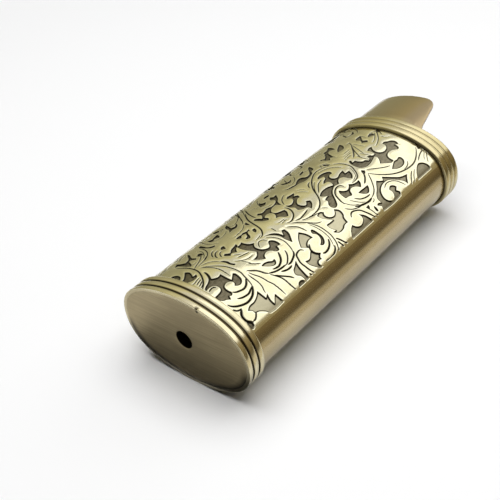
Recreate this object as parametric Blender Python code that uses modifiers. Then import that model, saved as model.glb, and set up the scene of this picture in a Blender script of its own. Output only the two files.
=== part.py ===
"""Empty slip-on case for a large pocket lighter, in antiqued brass.

Four pieces, soldered together: an oval tube whose wall stands up round one narrow end as a wind guard,
a flat plate that closes the lower end, and a band of beads round each end of the tube.

Every piece is modelled standing on its lower end, with its length along +Z and the two narrow ends of the
oval at -X and +X. An empty then lays the whole case on its back: the length runs along +Y, the engraved
front faces +Z, and the origin is on the surface it lies on, under the middle of its box. Units are metres.
"""

import math

import bmesh
import bpy
from mathutils import Vector

# Overall sizes, over the beads of the collars
collar_width = 0.0280
collar_thickness = 0.0183
shoulder_fullness = 0.00055
body_length = 0.0655

# Tube
sheet = 0.00075
tube_inset = 0.00072
edge_round = 0.00012

# Wind guard: its height, and how far its free edge starts past the middle of the oval
guard_rise = 0.0112
guard_reach = 0.0055
guard_lean = math.radians(15)
tip_radius = 0.0030
root_radius = 0.0022

# Collars: strip with three beads, the lower one ground flush with the plate
bead_pitch = 0.00145
bead_count = 3
groove_depth = 0.00026
groove_width = 0.00015
ground_off = 0.00030

# Lower plate, its raised middle that centres the tube, and the hole for the pin that pushes the lighter out
plate_thickness = 0.0010
seat_rise = 0.0004
hole_diameter = 0.0034
rim_round = 0.00015

# Clearance that the solder fills between two pieces, and how far a cutter runs past what it cuts
solder_gap = 0.00025
overrun = 0.0010
weld_distance = 0.00001

# Fineness
oval_points = 88
arc_points = 9
bead_shares = (-1.0, -0.86, -0.55, 0.0, 0.55, 0.86, 1.0)
bead_power = 3
sharp_angle = math.radians(35)

# Sizes that follow from the ones above
tube_foot = plate_thickness + solder_gap
guard_top = body_length + guard_rise
collar_bore_inset = tube_inset - solder_gap
plate_inset = collar_bore_inset + solder_gap
seat_inset = tube_inset + sheet + solder_gap
collar_height = bead_pitch * bead_count


def clear_scene():
    for item in list(bpy.data.objects):
        bpy.data.objects.remove(item, do_unlink=True)
    for group in list(bpy.data.collections):
        bpy.data.collections.remove(group)


def make_collection(name):
    group = bpy.data.collections.new(name)
    bpy.context.scene.collection.children.link(group)
    return group


def make_brass(name, colour, roughness):
    material = bpy.data.materials.new(name)
    material.use_nodes = True
    shader = material.node_tree.nodes["Principled BSDF"]
    shader.inputs["Base Color"].default_value = (*colour, 1.0)
    shader.inputs["Roughness"].default_value = roughness
    shader.inputs["Metallic"].default_value = 1.0
    return material


def oval(inset):
    """The case's section, drawn inwards by inset: an ellipse with slightly fuller shoulders."""
    half_width = collar_width / 2
    half_thickness = collar_thickness / 2
    points = []
    for step in range(oval_points):
        turn = 2 * math.pi * step / oval_points
        normal = Vector((math.cos(turn) / half_width, math.sin(turn) / half_thickness)).normalized()
        fullness = shoulder_fullness * (math.sin(2 * turn) * math.cos(turn)) ** 2
        on_ellipse = Vector((half_width * math.cos(turn), half_thickness * math.sin(turn)))
        points.append(on_ellipse + (fullness - inset) * normal)
    return points


def circle(radius):
    """A circle with one point for each point of the oval."""
    turns = [2 * math.pi * step / oval_points for step in range(oval_points)]
    return [Vector((radius * math.cos(turn), radius * math.sin(turn))) for turn in turns]


def arc(centre, radius, start, end):
    """Points on an arc from the angle start to the angle end, both ends included."""
    turns = [start + (end - start) * step / (arc_points - 1) for step in range(arc_points)]
    return [centre + radius * Vector((math.cos(turn), math.sin(turn))) for turn in turns]


def make_flat_curve(name, outlines):
    curve = bpy.data.curves.new(name, "CURVE")
    curve.dimensions = "2D"
    curve.fill_mode = "BOTH"
    for outline in outlines:
        spline = curve.splines.new("POLY")
        spline.points.add(len(outline) - 1)
        for point, place in zip(spline.points, outline):
            point.co = (place.x, place.y, 0.0, 1.0)
        spline.use_cyclic_u = True
    return curve


def mesh_of(curve_object):
    """Turn a curve object into a welded mesh object of the same name and place, and drop the curve."""
    name = curve_object.name
    evaluated = curve_object.evaluated_get(bpy.context.evaluated_depsgraph_get())
    mesh = bpy.data.meshes.new_from_object(evaluated)
    work = bmesh.new()
    work.from_mesh(mesh)
    bmesh.ops.remove_doubles(work, verts=work.verts, dist=weld_distance)
    bmesh.ops.recalc_face_normals(work, faces=work.faces)
    work.to_mesh(mesh)
    work.free()
    solid = bpy.data.objects.new(name + "_mesh", mesh)
    solid.matrix_world = curve_object.matrix_world.copy()
    bpy.data.objects.remove(curve_object, do_unlink=True)
    solid.name = name
    mesh.name = name
    return solid


def extruded(name, outlines, low, high):
    """A flat outline with its holes, drawn up from height low to height high."""
    curve = make_flat_curve(name, outlines)
    curve.extrude = (high - low) / 2
    flat = bpy.data.objects.new(name, curve)
    bpy.context.scene.collection.objects.link(flat)
    flat.location.z = (low + high) / 2
    bpy.context.view_layer.update()
    return mesh_of(flat)


def ringed(name, rings):
    """A solid whose skin runs through the rings in turn, each an outline and its height, and back again."""
    work = bmesh.new()
    loops = [[work.verts.new((point.x, point.y, height)) for point in outline] for outline, height in rings]
    for low, high in zip(loops, loops[1:] + loops[:1]):
        for step in range(oval_points):
            ahead = (step + 1) % oval_points
            work.faces.new((low[step], low[ahead], high[ahead], high[step]))
    bmesh.ops.recalc_face_normals(work, faces=work.faces)
    mesh = bpy.data.meshes.new(name)
    work.to_mesh(mesh)
    work.free()
    return bpy.data.objects.new(name, mesh)


def finish(piece, group, axis, material):
    """Put a piece in its collection, on the case's axis, with its own material and smooth round faces."""
    group.objects.link(piece)
    piece.parent = axis
    piece.data.materials.clear()
    piece.data.materials.append(material)
    piece.data.shade_smooth()
    piece.data.set_sharp_from_angle(angle=sharp_angle)
    return piece


def hide_helper(helper, cutters):
    cutters.objects.link(helper)
    helper.hide_render = True
    helper.display_type = "WIRE"


def guard_outline():
    """What is cut away above the mouth, seen from the front: all but the wind guard at the -X end.

    The outline follows the guard's flat top, its rounded tip, its leaning free edge and the fillet at
    its root, and then the mouth's rim.
    """
    side = collar_width / 2 + overrun
    sky = guard_top + 2 * overrun
    lean_run = math.tan(guard_lean)
    setback = math.tan(math.pi / 4 - guard_lean / 2)
    tip_x = guard_reach - guard_rise * lean_run - tip_radius * setback
    root_x = guard_reach + root_radius * setback
    tip_centre = Vector((tip_x, guard_top - tip_radius))
    root_centre = Vector((root_x, body_length + root_radius))
    tip = arc(tip_centre, tip_radius, math.pi / 2, guard_lean)
    root = arc(root_centre, root_radius, math.pi + guard_lean, 1.5 * math.pi)
    corners = [Vector((side, body_length)), Vector((side, sky)), Vector((-side, sky)), Vector((-side, guard_top))]
    return tip + root + corners


def make_guard_cutter(axis, cutters):
    curve = make_flat_curve("guard_cut", [guard_outline()])
    curve.extrude = collar_thickness / 2 + overrun
    drawn = bpy.data.objects.new("guard_cut", curve)
    bpy.context.scene.collection.objects.link(drawn)
    drawn.rotation_euler.x = math.pi / 2
    bpy.context.view_layer.update()
    cutter = mesh_of(drawn)
    hide_helper(cutter, cutters)
    cutter.parent = axis
    return cutter


def make_sleeve(group, axis, cutters):
    """The oval tube, open at the mouth, with the wind guard left standing at its -X end."""
    outer = oval(tube_inset)
    inner = oval(tube_inset + sheet)
    sleeve = extruded("sleeve", [outer, inner], tube_foot, guard_top + overrun)
    finish(sleeve, group, axis, make_brass("tube_brass", (0.46, 0.38, 0.20), 0.32))
    cut = sleeve.modifiers.new("guard_shape", "BOOLEAN")
    cut.operation = "DIFFERENCE"
    cut.object = make_guard_cutter(axis, cutters)
    soften = sleeve.modifiers.new("rounded_edges", "BEVEL")
    soften.width = edge_round
    soften.segments = 2
    soften.limit_method = "ANGLE"
    soften.angle_limit = math.radians(50)
    return sleeve


def make_bottom_plate(group, axis):
    """The plate that closes the lower end: its rim lies under the tube, its raised middle inside it.

    The rings run from the countersunk hole outwards over the lower face, up the rim, inwards over the
    shoulder and the seat of the lighter, and down the hole.
    """
    hole_radius = hole_diameter / 2
    seat_top = plate_thickness + seat_rise
    rings = [
        (circle(hole_radius + rim_round), 0.0),
        (oval(plate_inset + rim_round), 0.0),
        (oval(plate_inset), rim_round),
        (oval(plate_inset), plate_thickness),
        (oval(seat_inset), plate_thickness),
        (oval(seat_inset), seat_top),
        (circle(hole_radius), seat_top),
        (circle(hole_radius), rim_round),
    ]
    plate = ringed("bottom_plate", rings)
    return finish(plate, group, axis, make_brass("plate_brass", (0.42, 0.35, 0.19), 0.38))


def bead_drop(height):
    """How far the strip's face lies inside the crown of its beads, at a height above the strip's edge."""
    middle = (math.floor(height / bead_pitch) + 0.5) * bead_pitch
    share = abs(height - middle) / (bead_pitch / 2 - groove_width / 2)
    return groove_depth * min(share, 1.0) ** bead_power


def strip_profile(low, high):
    """The bead strip's section from its height low to high: outwards from the bore, crowns at zero."""
    half_bead = bead_pitch / 2 - groove_width / 2
    heights = []
    for bead in range(bead_count):
        middle = (bead + 0.5) * bead_pitch
        heights += [middle + share * half_bead for share in bead_shares]
    inside = [height for height in heights if low < height < high]
    face = [Vector((-bead_drop(height), height)) for height in [low] + inside + [high]]
    bore = [Vector((-collar_bore_inset, high)), Vector((-collar_bore_inset, low))]
    return face + bore


def make_collar(name, low_cut, place, group, axis, cutters):
    """A band of beads round the tube: the strip's section swept along the oval of its crowns."""
    profile = make_flat_curve(name + "_section", [strip_profile(low_cut, collar_height)])
    profile.fill_mode = "NONE"
    section = bpy.data.objects.new(name + "_section", profile)
    hide_helper(section, cutters)
    path = make_flat_curve(name, [oval(0.0)])
    path.dimensions = "3D"
    path.fill_mode = "FULL"
    path.bevel_mode = "OBJECT"
    path.bevel_object = section
    band = bpy.data.objects.new(name, path)
    bpy.context.scene.collection.objects.link(band)
    band.location.z = place - low_cut
    bpy.context.view_layer.update()
    collar = mesh_of(band)
    return finish(collar, group, axis, make_brass(name + "_brass", (0.50, 0.41, 0.21), 0.28))


def lay_down(group):
    """The empty that lays the standing case on its back, with its front up."""
    axis = bpy.data.objects.new("case_axis", None)
    axis.rotation_euler.x = -math.pi / 2
    axis.location = (0.0, -guard_top / 2, collar_thickness / 2)
    group.objects.link(axis)
    return axis


def main():
    clear_scene()
    group = make_collection("lighter_case")
    cutters = make_collection("cutters")
    axis = lay_down(group)
    make_sleeve(group, axis, cutters)
    make_bottom_plate(group, axis)
    make_collar("bottom_collar", ground_off, 0.0, group, axis, cutters)
    make_collar("top_collar", 0.0, body_length - collar_height, group, axis, cutters)


main()
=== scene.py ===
import math

import bmesh
import bpy
import numpy as np
from bpy.props import FloatProperty, FloatVectorProperty, IntProperty, PointerProperty
from mathutils import Matrix, Vector


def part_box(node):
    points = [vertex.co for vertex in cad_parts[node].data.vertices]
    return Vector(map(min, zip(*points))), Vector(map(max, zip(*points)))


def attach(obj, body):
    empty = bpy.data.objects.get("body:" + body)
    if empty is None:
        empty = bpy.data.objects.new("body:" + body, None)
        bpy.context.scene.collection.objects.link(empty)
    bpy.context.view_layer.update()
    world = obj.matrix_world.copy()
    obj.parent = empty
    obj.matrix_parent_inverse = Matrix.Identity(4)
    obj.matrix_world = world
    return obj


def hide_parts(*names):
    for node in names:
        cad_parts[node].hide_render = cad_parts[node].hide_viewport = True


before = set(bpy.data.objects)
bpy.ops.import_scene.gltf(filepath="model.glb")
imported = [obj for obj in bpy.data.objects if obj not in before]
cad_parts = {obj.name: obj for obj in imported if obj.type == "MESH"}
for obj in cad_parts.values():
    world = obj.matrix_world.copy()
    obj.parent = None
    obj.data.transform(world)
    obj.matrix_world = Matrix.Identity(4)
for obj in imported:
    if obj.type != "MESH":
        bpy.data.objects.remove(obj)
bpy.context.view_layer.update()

bl_info = {
    "name": "Engraved Lighter Case",
    "version": (1, 0, 0),
    "blender": (4, 5, 0),
    "location": "3D View > Sidebar > Lighter Case",
    "description": "Builds the looks of an engraved brass lighter case and the studio it is shown in",
    "category": "Object",
}

# The case lies on its back: its length runs along +Y, its engraved front faces +Z and the narrow end
# without the wind guard faces +X. Everything is in metres, except the outlines of the carving, which are
# in millimetres: y along the length from the lower end, and s round the oval from the front's middle,
# towards +X.
MM = 0.001
BODY = "root"
SLEEVE_LOW, SLEEVE_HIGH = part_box("sleeve")
PLATE_LOW, PLATE_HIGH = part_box("bottom_plate")
UPPER_BAND_LOW, UPPER_BAND_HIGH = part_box("top_collar")
LOWER_END = PLATE_LOW.y
AXIS_HEIGHT = (UPPER_BAND_LOW.z + UPPER_BAND_HIGH.z) / 2
HALF_WIDTH = (UPPER_BAND_HIGH.x - UPPER_BAND_LOW.x) / 2
HALF_THICKNESS = (UPPER_BAND_HIGH.z - UPPER_BAND_LOW.z) / 2
# How far the oval's shoulders stand outside an ellipse
SHOULDER_FULLNESS = 0.55 * MM
TUBE_INSET = UPPER_BAND_HIGH.x - SLEEVE_HIGH.x
RIM = UPPER_BAND_HIGH.y - LOWER_END
GUARD_TOP = SLEEVE_HIGH.y - LOWER_END
FOOT = SLEEVE_LOW.y - LOWER_END
QUARTER = math.pi / 2
# The gap that keeps the carved skin clear of its recess, and a length that stands in for none
CLEARANCE = 0.002 * MM
TINY = 1e-12
# Steps of the table that turns lengths round the tube into turns of the oval
TURN_STEPS = 6000
# Edges of the tube and plate, and of the bands, that bend by more degrees than this stay sharp
SHARP_EDGE, SHARP_BEAD = 40, 50

# The carved field on each broad face, and how far the wall is sunk under it
FIELD_HALF = 13.4 * MM
FIELD_LOW = 3.95 * MM
FIELD_HIGH = 61.25 * MM
RECESS = 0.45 * MM
# In millimetres: twice the height that the lower border is turned about, and the field's side border
TURNED_ABOUT = 65.4
SIDE_BORDER = 12.85

# Sunk pockets: closed outlines of (y, s), in millimetres. A sharp turn is a cusp.
POCKETS = [
    # number 0 and on, from the lower end
    [(4.9, 2), (6.2, 1.45), (7, 0.9), (7.5, 0.1), (7.9, -1), (8.1, -0.7), (7.9, 0.2), (7.3, 1.3),
     (8.2, 1.85), (9.05, 1.65), (9, 3), (9.1, 4.1), (10.4, 3.2), (10.65, 3.7), (10.4, 5), (9.9, 5.6),
     (9.1, 5.8), (8.4, 5.3), (8.9, 4.7), (8.5, 4.05), (7.8, 3.9), (7.1, 4.3), (6.9, 5.2), (7, 5.9),
     (6.5, 6.3), (6.15, 6.1), (5.75, 6.8), (5.2, 6.3), (4.7, 6.1), (4.35, 5.6), (4.35, 4.6), (5.4, 4.5),
     (6.1, 4.3), (6.5, 3.7), (6.3, 2.9), (5.5, 2.5), (4.5, 2.6)],
    [(4.3, -5.3), (4.9, -5.7), (5.4, -5), (5.4, -4.2), (5, -3.6), (4.3, -3.2)],
    [(4.3, -2.6), (5, -2.9), (5.7, -3.4), (6.6, -4.2), (6.9, -3.4), (6.7, -2.7), (6.2, -1.9), (6.9, -1.8),
     (6.5, -1.2), (5.6, -1), (4.9, -1.2), (4.3, -1.7)],
    [(6.1, 10.1), (7, 9.65), (8.2, 9.6), (9.3, 9.2), (10.15, 8.6), (10.3, 10.5), (11.1, 10), (10.7, 11.2),
     (10.8, 12.1), (11.5, 11.4), (12.1, 10.9), (12.3, 12), (12.5, 12.8), (9.1, 12.8), (8.5, 12.1),
     (7.6, 11.4), (6.8, 11.1), (6.7, 10.6)],
    [(4.4, 11.2), (5.2, 12), (5.1, 12.6), (4.6, 12.9), (4.3, 12.6)],
    [(7.4, -7.7), (8, -8), (8.6, -8.5), (8.7, -7.5), (9.1, -6.6), (10.2, -6.9), (11, -7.9), (11.8, -8.9),
     (11.6, -8), (10.9, -6.9), (10.7, -6.3), (10.9, -5.5), (10.4, -5.2), (10.1, -5.9), (9.6, -6.1),
     (9.2, -5.3), (8.9, -4.8), (8.4, -4.4), (8.1, -5.4), (8, -6.5), (7.9, -7.2)],
    [(11.5, -5.4), (11.8, -6.2), (12.2, -6.2), (12.4, -5.6), (12, -5)],
    [(13.9, -7.6), (14.2, -8.3), (14.7, -8.4), (14.5, -7.2), (14.4, -6), (15.2, -5.1), (14.9, -4.7),
     (14.3, -5), (14, -6)],
    [(14.35, -2.6), (14.6, -3.1), (15.1, -3.35), (15.45, -3.1), (15.2, -2.6), (14.9, -2.15)],
    [(13.15, -0.95), (13.6, -1.35), (13.9, -0.9), (14.3, -0.55), (14.8, -0.95), (15.3, -1.2), (16, -1.3),
     (16.75, -1.5), (16.5, -0.85), (15.9, -0.6), (15.5, -0.3), (15.1, 0.3), (14.6, -0.1), (14.2, -0.3),
     (13.7, 0), (13.4, -0.3)],
    # number 10 and on
    [(11.4, -0.6), (12, -0.1), (12.25, 0.7), (12.2, 1.3), (12.5, 2.1), (12.1, 2.2), (11.8, 1.4),
     (11.75, 0.5)],
    [(16.2, -0.75), (17, -0.75), (17.6, -1), (17.6, -0.2), (17.9, 0.6), (18.6, 1.1), (17.9, 1.75),
     (17.75, 2.4), (18, 3.2), (18.7, 3.75), (19.4, 3.8), (20.3, 2.85), (20.9, 3.1), (21.2, 3.9),
     (21.1, 4.9), (20.3, 4.7), (19.9, 5.5), (19.2, 5.4), (18.8, 4.7), (18.1, 4.25), (17.2, 4.5),
     (16.7, 5.2), (15.9, 4.7), (15.1, 3.75), (16.2, 3.6), (17, 2.9), (16.6, 2), (16.2, 1.2),
     (16.05, 0.1)],
    [(14.8, 5.75), (15.6, 5.6), (16.4, 5.85), (17, 6.3), (17.6, 6.2), (17.3, 6.9), (16.7, 7.2),
     (15.9, 6.9)],
    [(20.9, 1.35), (22.2, 1.9), (22.9, 2.7), (23.2, 3.9), (24, 2.8), (24.55, 3), (24.3, 4.2), (23.6, 5.2),
     (22.85, 6.1), (22.6, 4.6), (22.6, 3.5), (21.9, 2.2)],
    [(22.9, 7.9), (23.4, 7.2), (24.2, 6.3), (25.5, 5.35), (26.15, 6.6), (26.3, 7.9), (25.3, 7.8),
     (24.4, 8.2), (23.9, 8.9), (23.4, 8.3)],
    [(21.2, 10.2), (22.2, 10.4), (23, 9.9), (23.7, 9.4), (24, 10.1), (24.9, 10.9), (24.2, 11.3),
     (24.1, 11.8), (23.4, 11.7), (23, 12.1), (23.3, 12.8), (22.7, 12.8), (21.9, 12), (21.3, 11.1)],
    [(18.1, 10.1), (19, 9.6), (20, 9), (19.5, 10.2), (19.4, 11.5), (19.5, 12.8), (18.6, 12.85),
     (18.4, 11.6), (17.8, 10.9)],
    [(16.7, 12.85), (16.9, 12.35), (17.5, 12.1), (18.2, 12.3), (18.4, 12.85)],
    [(18, -2.5), (18.6, -2.7), (19.4, -2.55), (20, -2.65), (20.6, -2.4), (21.35, -2.5), (21.15, -1.9),
     (20.7, -2.05), (20.2, -1.5), (19.9, -0.9), (19.4, -0.4), (18.8, -0.55), (18.9, -1), (19.5, -1.2),
     (20, -1.95), (19.3, -2.25), (18.6, -1.8), (18.2, -2)],
    [(21.2, -1.2), (21.6, -1.75), (22.05, -1.65), (21.8, -1), (21.1, -0.5)],
    # number 20 and on
    [(22.4, -4), (22.7, -4.5), (23.15, -4.7), (22.95, -4), (22.65, -3.1)],
    [(24.05, -3.4), (24.4, -3.75), (24.8, -3.3), (25.1, -2.4), (26, -3.3), (25.75, -4), (26.3, -4.5),
     (26.8, -3.8), (28.2, -4), (29.2, -3.5), (30.4, -3.7), (31.3, -4.4), (31.1, -5.3), (32.1, -6.4),
     (32.3, -5.7), (33.2, -5.8), (32.6, -5), (31.9, -4.2), (30.9, -3.4), (30.3, -2), (30, -2.6),
     (29.8, -3.1), (28.6, -3), (27.8, -2.5), (27.5, -1.9), (27.7, -1.2), (28.5, -0.8), (29.1, -0.5),
     (28.9, 0.3), (28, 1.3), (27.4, 1), (27, 0.2), (26.3, -0.2), (27, -0.8), (27.3, -1.6), (27, -2.3),
     (26.2, -2.5), (25.5, -2.1), (25.7, -1.4), (25.2, -1), (24.5, -1.6), (24.2, -2.4)],
    [(16, -7), (16.3, -8.1), (16.9, -7.5), (17.6, -7.7), (18.5, -7.8), (18.2, -6.8), (17.6, -6.2),
     (17, -6.9), (16.3, -6.5)],
    [(18.9, -9), (19.5, -9.7), (20, -8.8), (19.4, -8.1)],
    [(19.4, -5.3), (20.2, -6.2), (20.5, -7.2), (21.2, -8.2), (21.9, -8.5), (21.4, -7.4), (20.9, -6.3),
     (21.6, -6), (22.6, -6.7), (22, -5.7), (21.1, -5.2), (20.3, -5.4)],
    [(28.5, -5.6), (29.2, -6.7), (30.1, -7.4), (29.8, -6.6), (30.4, -6), (29.4, -5.3)],
    [(31.5, -7.3), (32.2, -8), (33.1, -7.7), (32.6, -7.1)],
    [(32.2, -2.3), (32.9, -2.8), (33.6, -2.65), (34.45, -2.5), (34, -2), (33.5, -1.8), (34.1, -1.3),
     (33.8, -0.6), (33.2, -0.6), (32.3, -0.1), (31.75, 0.6), (31.8, 1.4), (32.3, 1.9), (32.9, 1.6),
     (33.3, 1.15), (33.9, 1.7), (33.5, 2.4), (32.9, 2.9), (32.1, 3.4), (32, 2.6), (31, 2.2), (30.4, 1.7),
     (30.6, 0.8), (30.2, 0), (30.3, -1.2), (30.8, -0.55), (31.7, -0.6), (32.5, -1.1), (32.7, -1.7)],
    [(34.75, 5.9), (34.9, 5.1), (35.6, 4.4), (35.65, 3.8), (36.9, 3.5), (36.2, 3), (35.9, 2.4),
     (36.9, 1.9), (38, 1.75), (39, 1.9), (40.1, 2.4), (40.5, 1.7), (40.4, 1), (39.4, 0.75), (40.3, 0.1),
     (41.2, -0.2), (41.5, -0.8), (40.2, -1.15), (40.8, -1.65), (41.8, -1.8), (42.9, -1.45), (43.45, -0.8),
     (43.2, -0.1), (42.4, -0.1), (41.8, 0.5), (41.9, 1.2), (42.6, 1.55), (43.8, 1.2), (45, 1.05),
     (44.5, 2), (45.6, 2.1), (45.2, 3), (44.6, 3.6), (44, 3.95), (43.6, 3.5), (43.3, 2.6), (42.5, 2.1),
     (41.7, 2.4), (41.1, 2.95), (40, 2.75), (38.9, 3.15), (38, 3.8), (37.3, 4.7), (36.7, 5.5), (36, 6.2),
     (35.2, 6.4)],
    [(31.1, 5.3), (32.2, 5), (32.7, 5.6), (32.2, 6.2), (32.4, 7), (33.2, 7.4), (34, 7.1), (34.6, 6.4),
     (35.2, 7.3), (34.9, 8.4), (34.4, 8.9), (34.1, 10), (33.2, 10), (32.3, 10.4), (31, 10.4), (30.1, 9.6),
     (30.9, 9.7), (30.4, 8.7), (30.5, 7.8), (31.6, 7.9), (32.4, 7.9), (31.7, 7.1), (31.2, 6.3)],
    # number 30 and on
    [(32.2, 12.85), (32.6, 12.2), (33.4, 11.4), (34.3, 10.9), (34.9, 11.7), (35.8, 12), (36.9, 11.6),
     (37.3, 10.9), (37.1, 10.2), (38, 11), (38.5, 12), (38.8, 12.85)],
    [(27, 7.3), (27.4, 6.6), (27.75, 6.7), (27.9, 7.8), (27.8, 9), (27.2, 9.9), (26.5, 10.15), (26, 9.8),
     (26.6, 9.5), (27.2, 8.9), (27.4, 8)],
    [(38.5, 6.3), (38.7, 5.2), (39, 4.5), (39.4, 4.1), (39.85, 4.8), (40.6, 5.2), (41.5, 4.9),
     (42.1, 4.4), (42.7, 4.95), (43.5, 5.15), (44.35, 5.1), (43.9, 5.9), (43, 6.6), (42.5, 5.8),
     (41.6, 5.4), (40.8, 5.7), (40.1, 6.6), (39.3, 6.4)],
    [(41.4, 7.1), (42.4, 7.05), (43.2, 7.1), (44.4, 7.1), (43.9, 7.8), (42.9, 8.4), (42, 8)],
    [(46.6, 7.6), (47.1, 8.1), (47.7, 8.45), (48.3, 7.7), (48.8, 8.2), (50.2, 9.4), (51.2, 10.1),
     (53, 10.6), (52.3, 11.1), (51.4, 12.1), (51.1, 11.2), (50.2, 10.3), (49.3, 9.5), (48.4, 9),
     (47.2, 8.9), (46, 9.2), (45, 9.9), (44.5, 10.9), (44.6, 11.6), (45.1, 12.2), (45.9, 12.5),
     (46.6, 12.1), (47, 11.3), (46.8, 10.6), (47.6, 10.15), (48.3, 10.4), (48.7, 11), (48, 11.5),
     (48.5, 12.1), (47.9, 12.85), (42.2, 12.85), (42.6, 11.9), (41.9, 11.3), (42.4, 11.1), (43.1, 11.4),
     (43.1, 10.4), (43.7, 9.7), (44.9, 8.9), (45.9, 8.1)],
    [(39.6, 10.2), (40.5, 10.1), (40.2, 10.7), (39.8, 10.9)],
    [(40.85, 12), (40.9, 11.3), (41.2, 10.9), (41.35, 11.6), (41.2, 12.2)],
    [(46.4, 5), (46.7, 4.2), (47.1, 3.85), (47.5, 4.4), (47, 4.8)],
    [(47.75, 0.9), (48.4, 0.2), (48.6, 0.5), (48.2, 1.1), (49, 1.1), (49.2, 1.9), (49.7, 2.5),
     (50.2, 2.6), (50.6, 3.2), (51.2, 3), (51.4, 2.2), (51.9, 2.4), (52.4, 2.9), (53.1, 2.9), (53.3, 2.1),
     (53.1, 1.2), (54, 0.9), (54.9, 1.05), (54.3, 1.6), (53.9, 2.4), (54, 3.2), (54.5, 3.7), (55.3, 3.85),
     (56.3, 3.5), (56.8, 2.9), (56.9, 2.2), (57.6, 2.1), (58.1, 2.5), (58.9, 3), (59.2, 3.8), (58.8, 4.7),
     (58.2, 4.3), (58, 5.2), (57.4, 5.5), (56.8, 5.2), (56.2, 4.8), (55.2, 4.7), (54.4, 5), (53.9, 5.7),
     (53.9, 6.7), (53, 6.8), (52, 6.1), (51.2, 5.4), (52, 4.7), (52.5, 3.9), (52.3, 3.35), (51.2, 3.7),
     (49.9, 4), (48.6, 3.95), (47.6, 3.3), (47.4, 2.2)],
    [(51.6, 7.9), (52.6, 7.4), (53.8, 6.95), (54.6, 7.05), (55.4, 6.9), (55.7, 7.4), (55.4, 8.2),
     (54.6, 8.7), (53.5, 8.8), (52.4, 8.5)],
    # number 40 and on
    [(54.1, 12.85), (54.6, 12.1), (55.4, 11.35), (56.3, 10.75), (57.2, 10.5), (58, 10.8), (58.6, 11.4),
     (58.9, 12.1), (58.8, 12.85)],
    [(60.3, 8.3), (60.8, 7.7), (61.2, 6.9), (61.6, 6), (61.6, 8.5)],
    [(35.1, -5.4), (35.5, -4.8), (36.4, -4.6), (37.2, -4.3), (38.2, -4.8), (39.4, -5.2), (40, -4.8),
     (40.3, -4.1), (41.3, -4.05), (42.1, -4.6), (42.8, -5.3), (43.6, -6.1), (44.2, -6.4), (44, -5.6),
     (43.4, -4.6), (42.5, -4.4), (41.9, -3.75), (40.5, -3.3), (38.8, -3.2), (37.9, -3.7), (36.8, -3.9),
     (35.7, -4.2), (35.2, -4.7)],
    [(40.7, -5.8), (41.2, -6.4), (42.5, -6.7), (42, -6.1), (41.4, -5.8)],
    [(37, -7.2), (37.4, -8.2), (37.9, -7), (39, -6.9), (38.3, -6.2), (37.4, -6.3)],
    [(44.95, -3.4), (45.3, -3.7), (45.7, -2.9), (45.8, -2.2), (45.2, -2.6)],
    [(46.6, -5.2), (47, -5.7), (47.5, -5), (48.3, -5.4), (49.5, -6.4), (50.1, -7.2), (51.1, -7.2),
     (52.4, -7.9), (52.3, -6.7), (51.6, -5.4), (51.1, -6.1), (50.3, -6.1), (49.6, -5.4), (49.2, -4.6),
     (48.5, -3.6), (48.1, -4.1), (47.3, -3.4), (46.9, -4.2), (47, -4.9)],
    [(50.5, -3.9), (51.4, -4.7), (52.4, -5.3), (53.7, -5.9), (53.4, -4.9), (52.7, -4), (51.8, -3.6)],
    [(55.8, -3.1), (56.5, -3.7), (57.7, -3.6), (57.2, -2.9), (56.6, -2.4), (56.1, -1.8), (56.6, -1.1),
     (56, -0.5), (55.1, -1.4), (55.9, -2.3)],
    [(57.7, -1.6), (58.4, -2.1), (59.4, -1.9), (59.2, -1.2), (58.6, -1)],
    # number 50 and on
    [(60.1, -1), (60.7, -1.7), (61.6, -2.1), (61.6, 0.8), (61.2, -0.2), (60.7, -0.6)],
    [(58, -5.6), (58.6, -6.3), (59.5, -6.8), (58.9, -5.9)],
]

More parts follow.
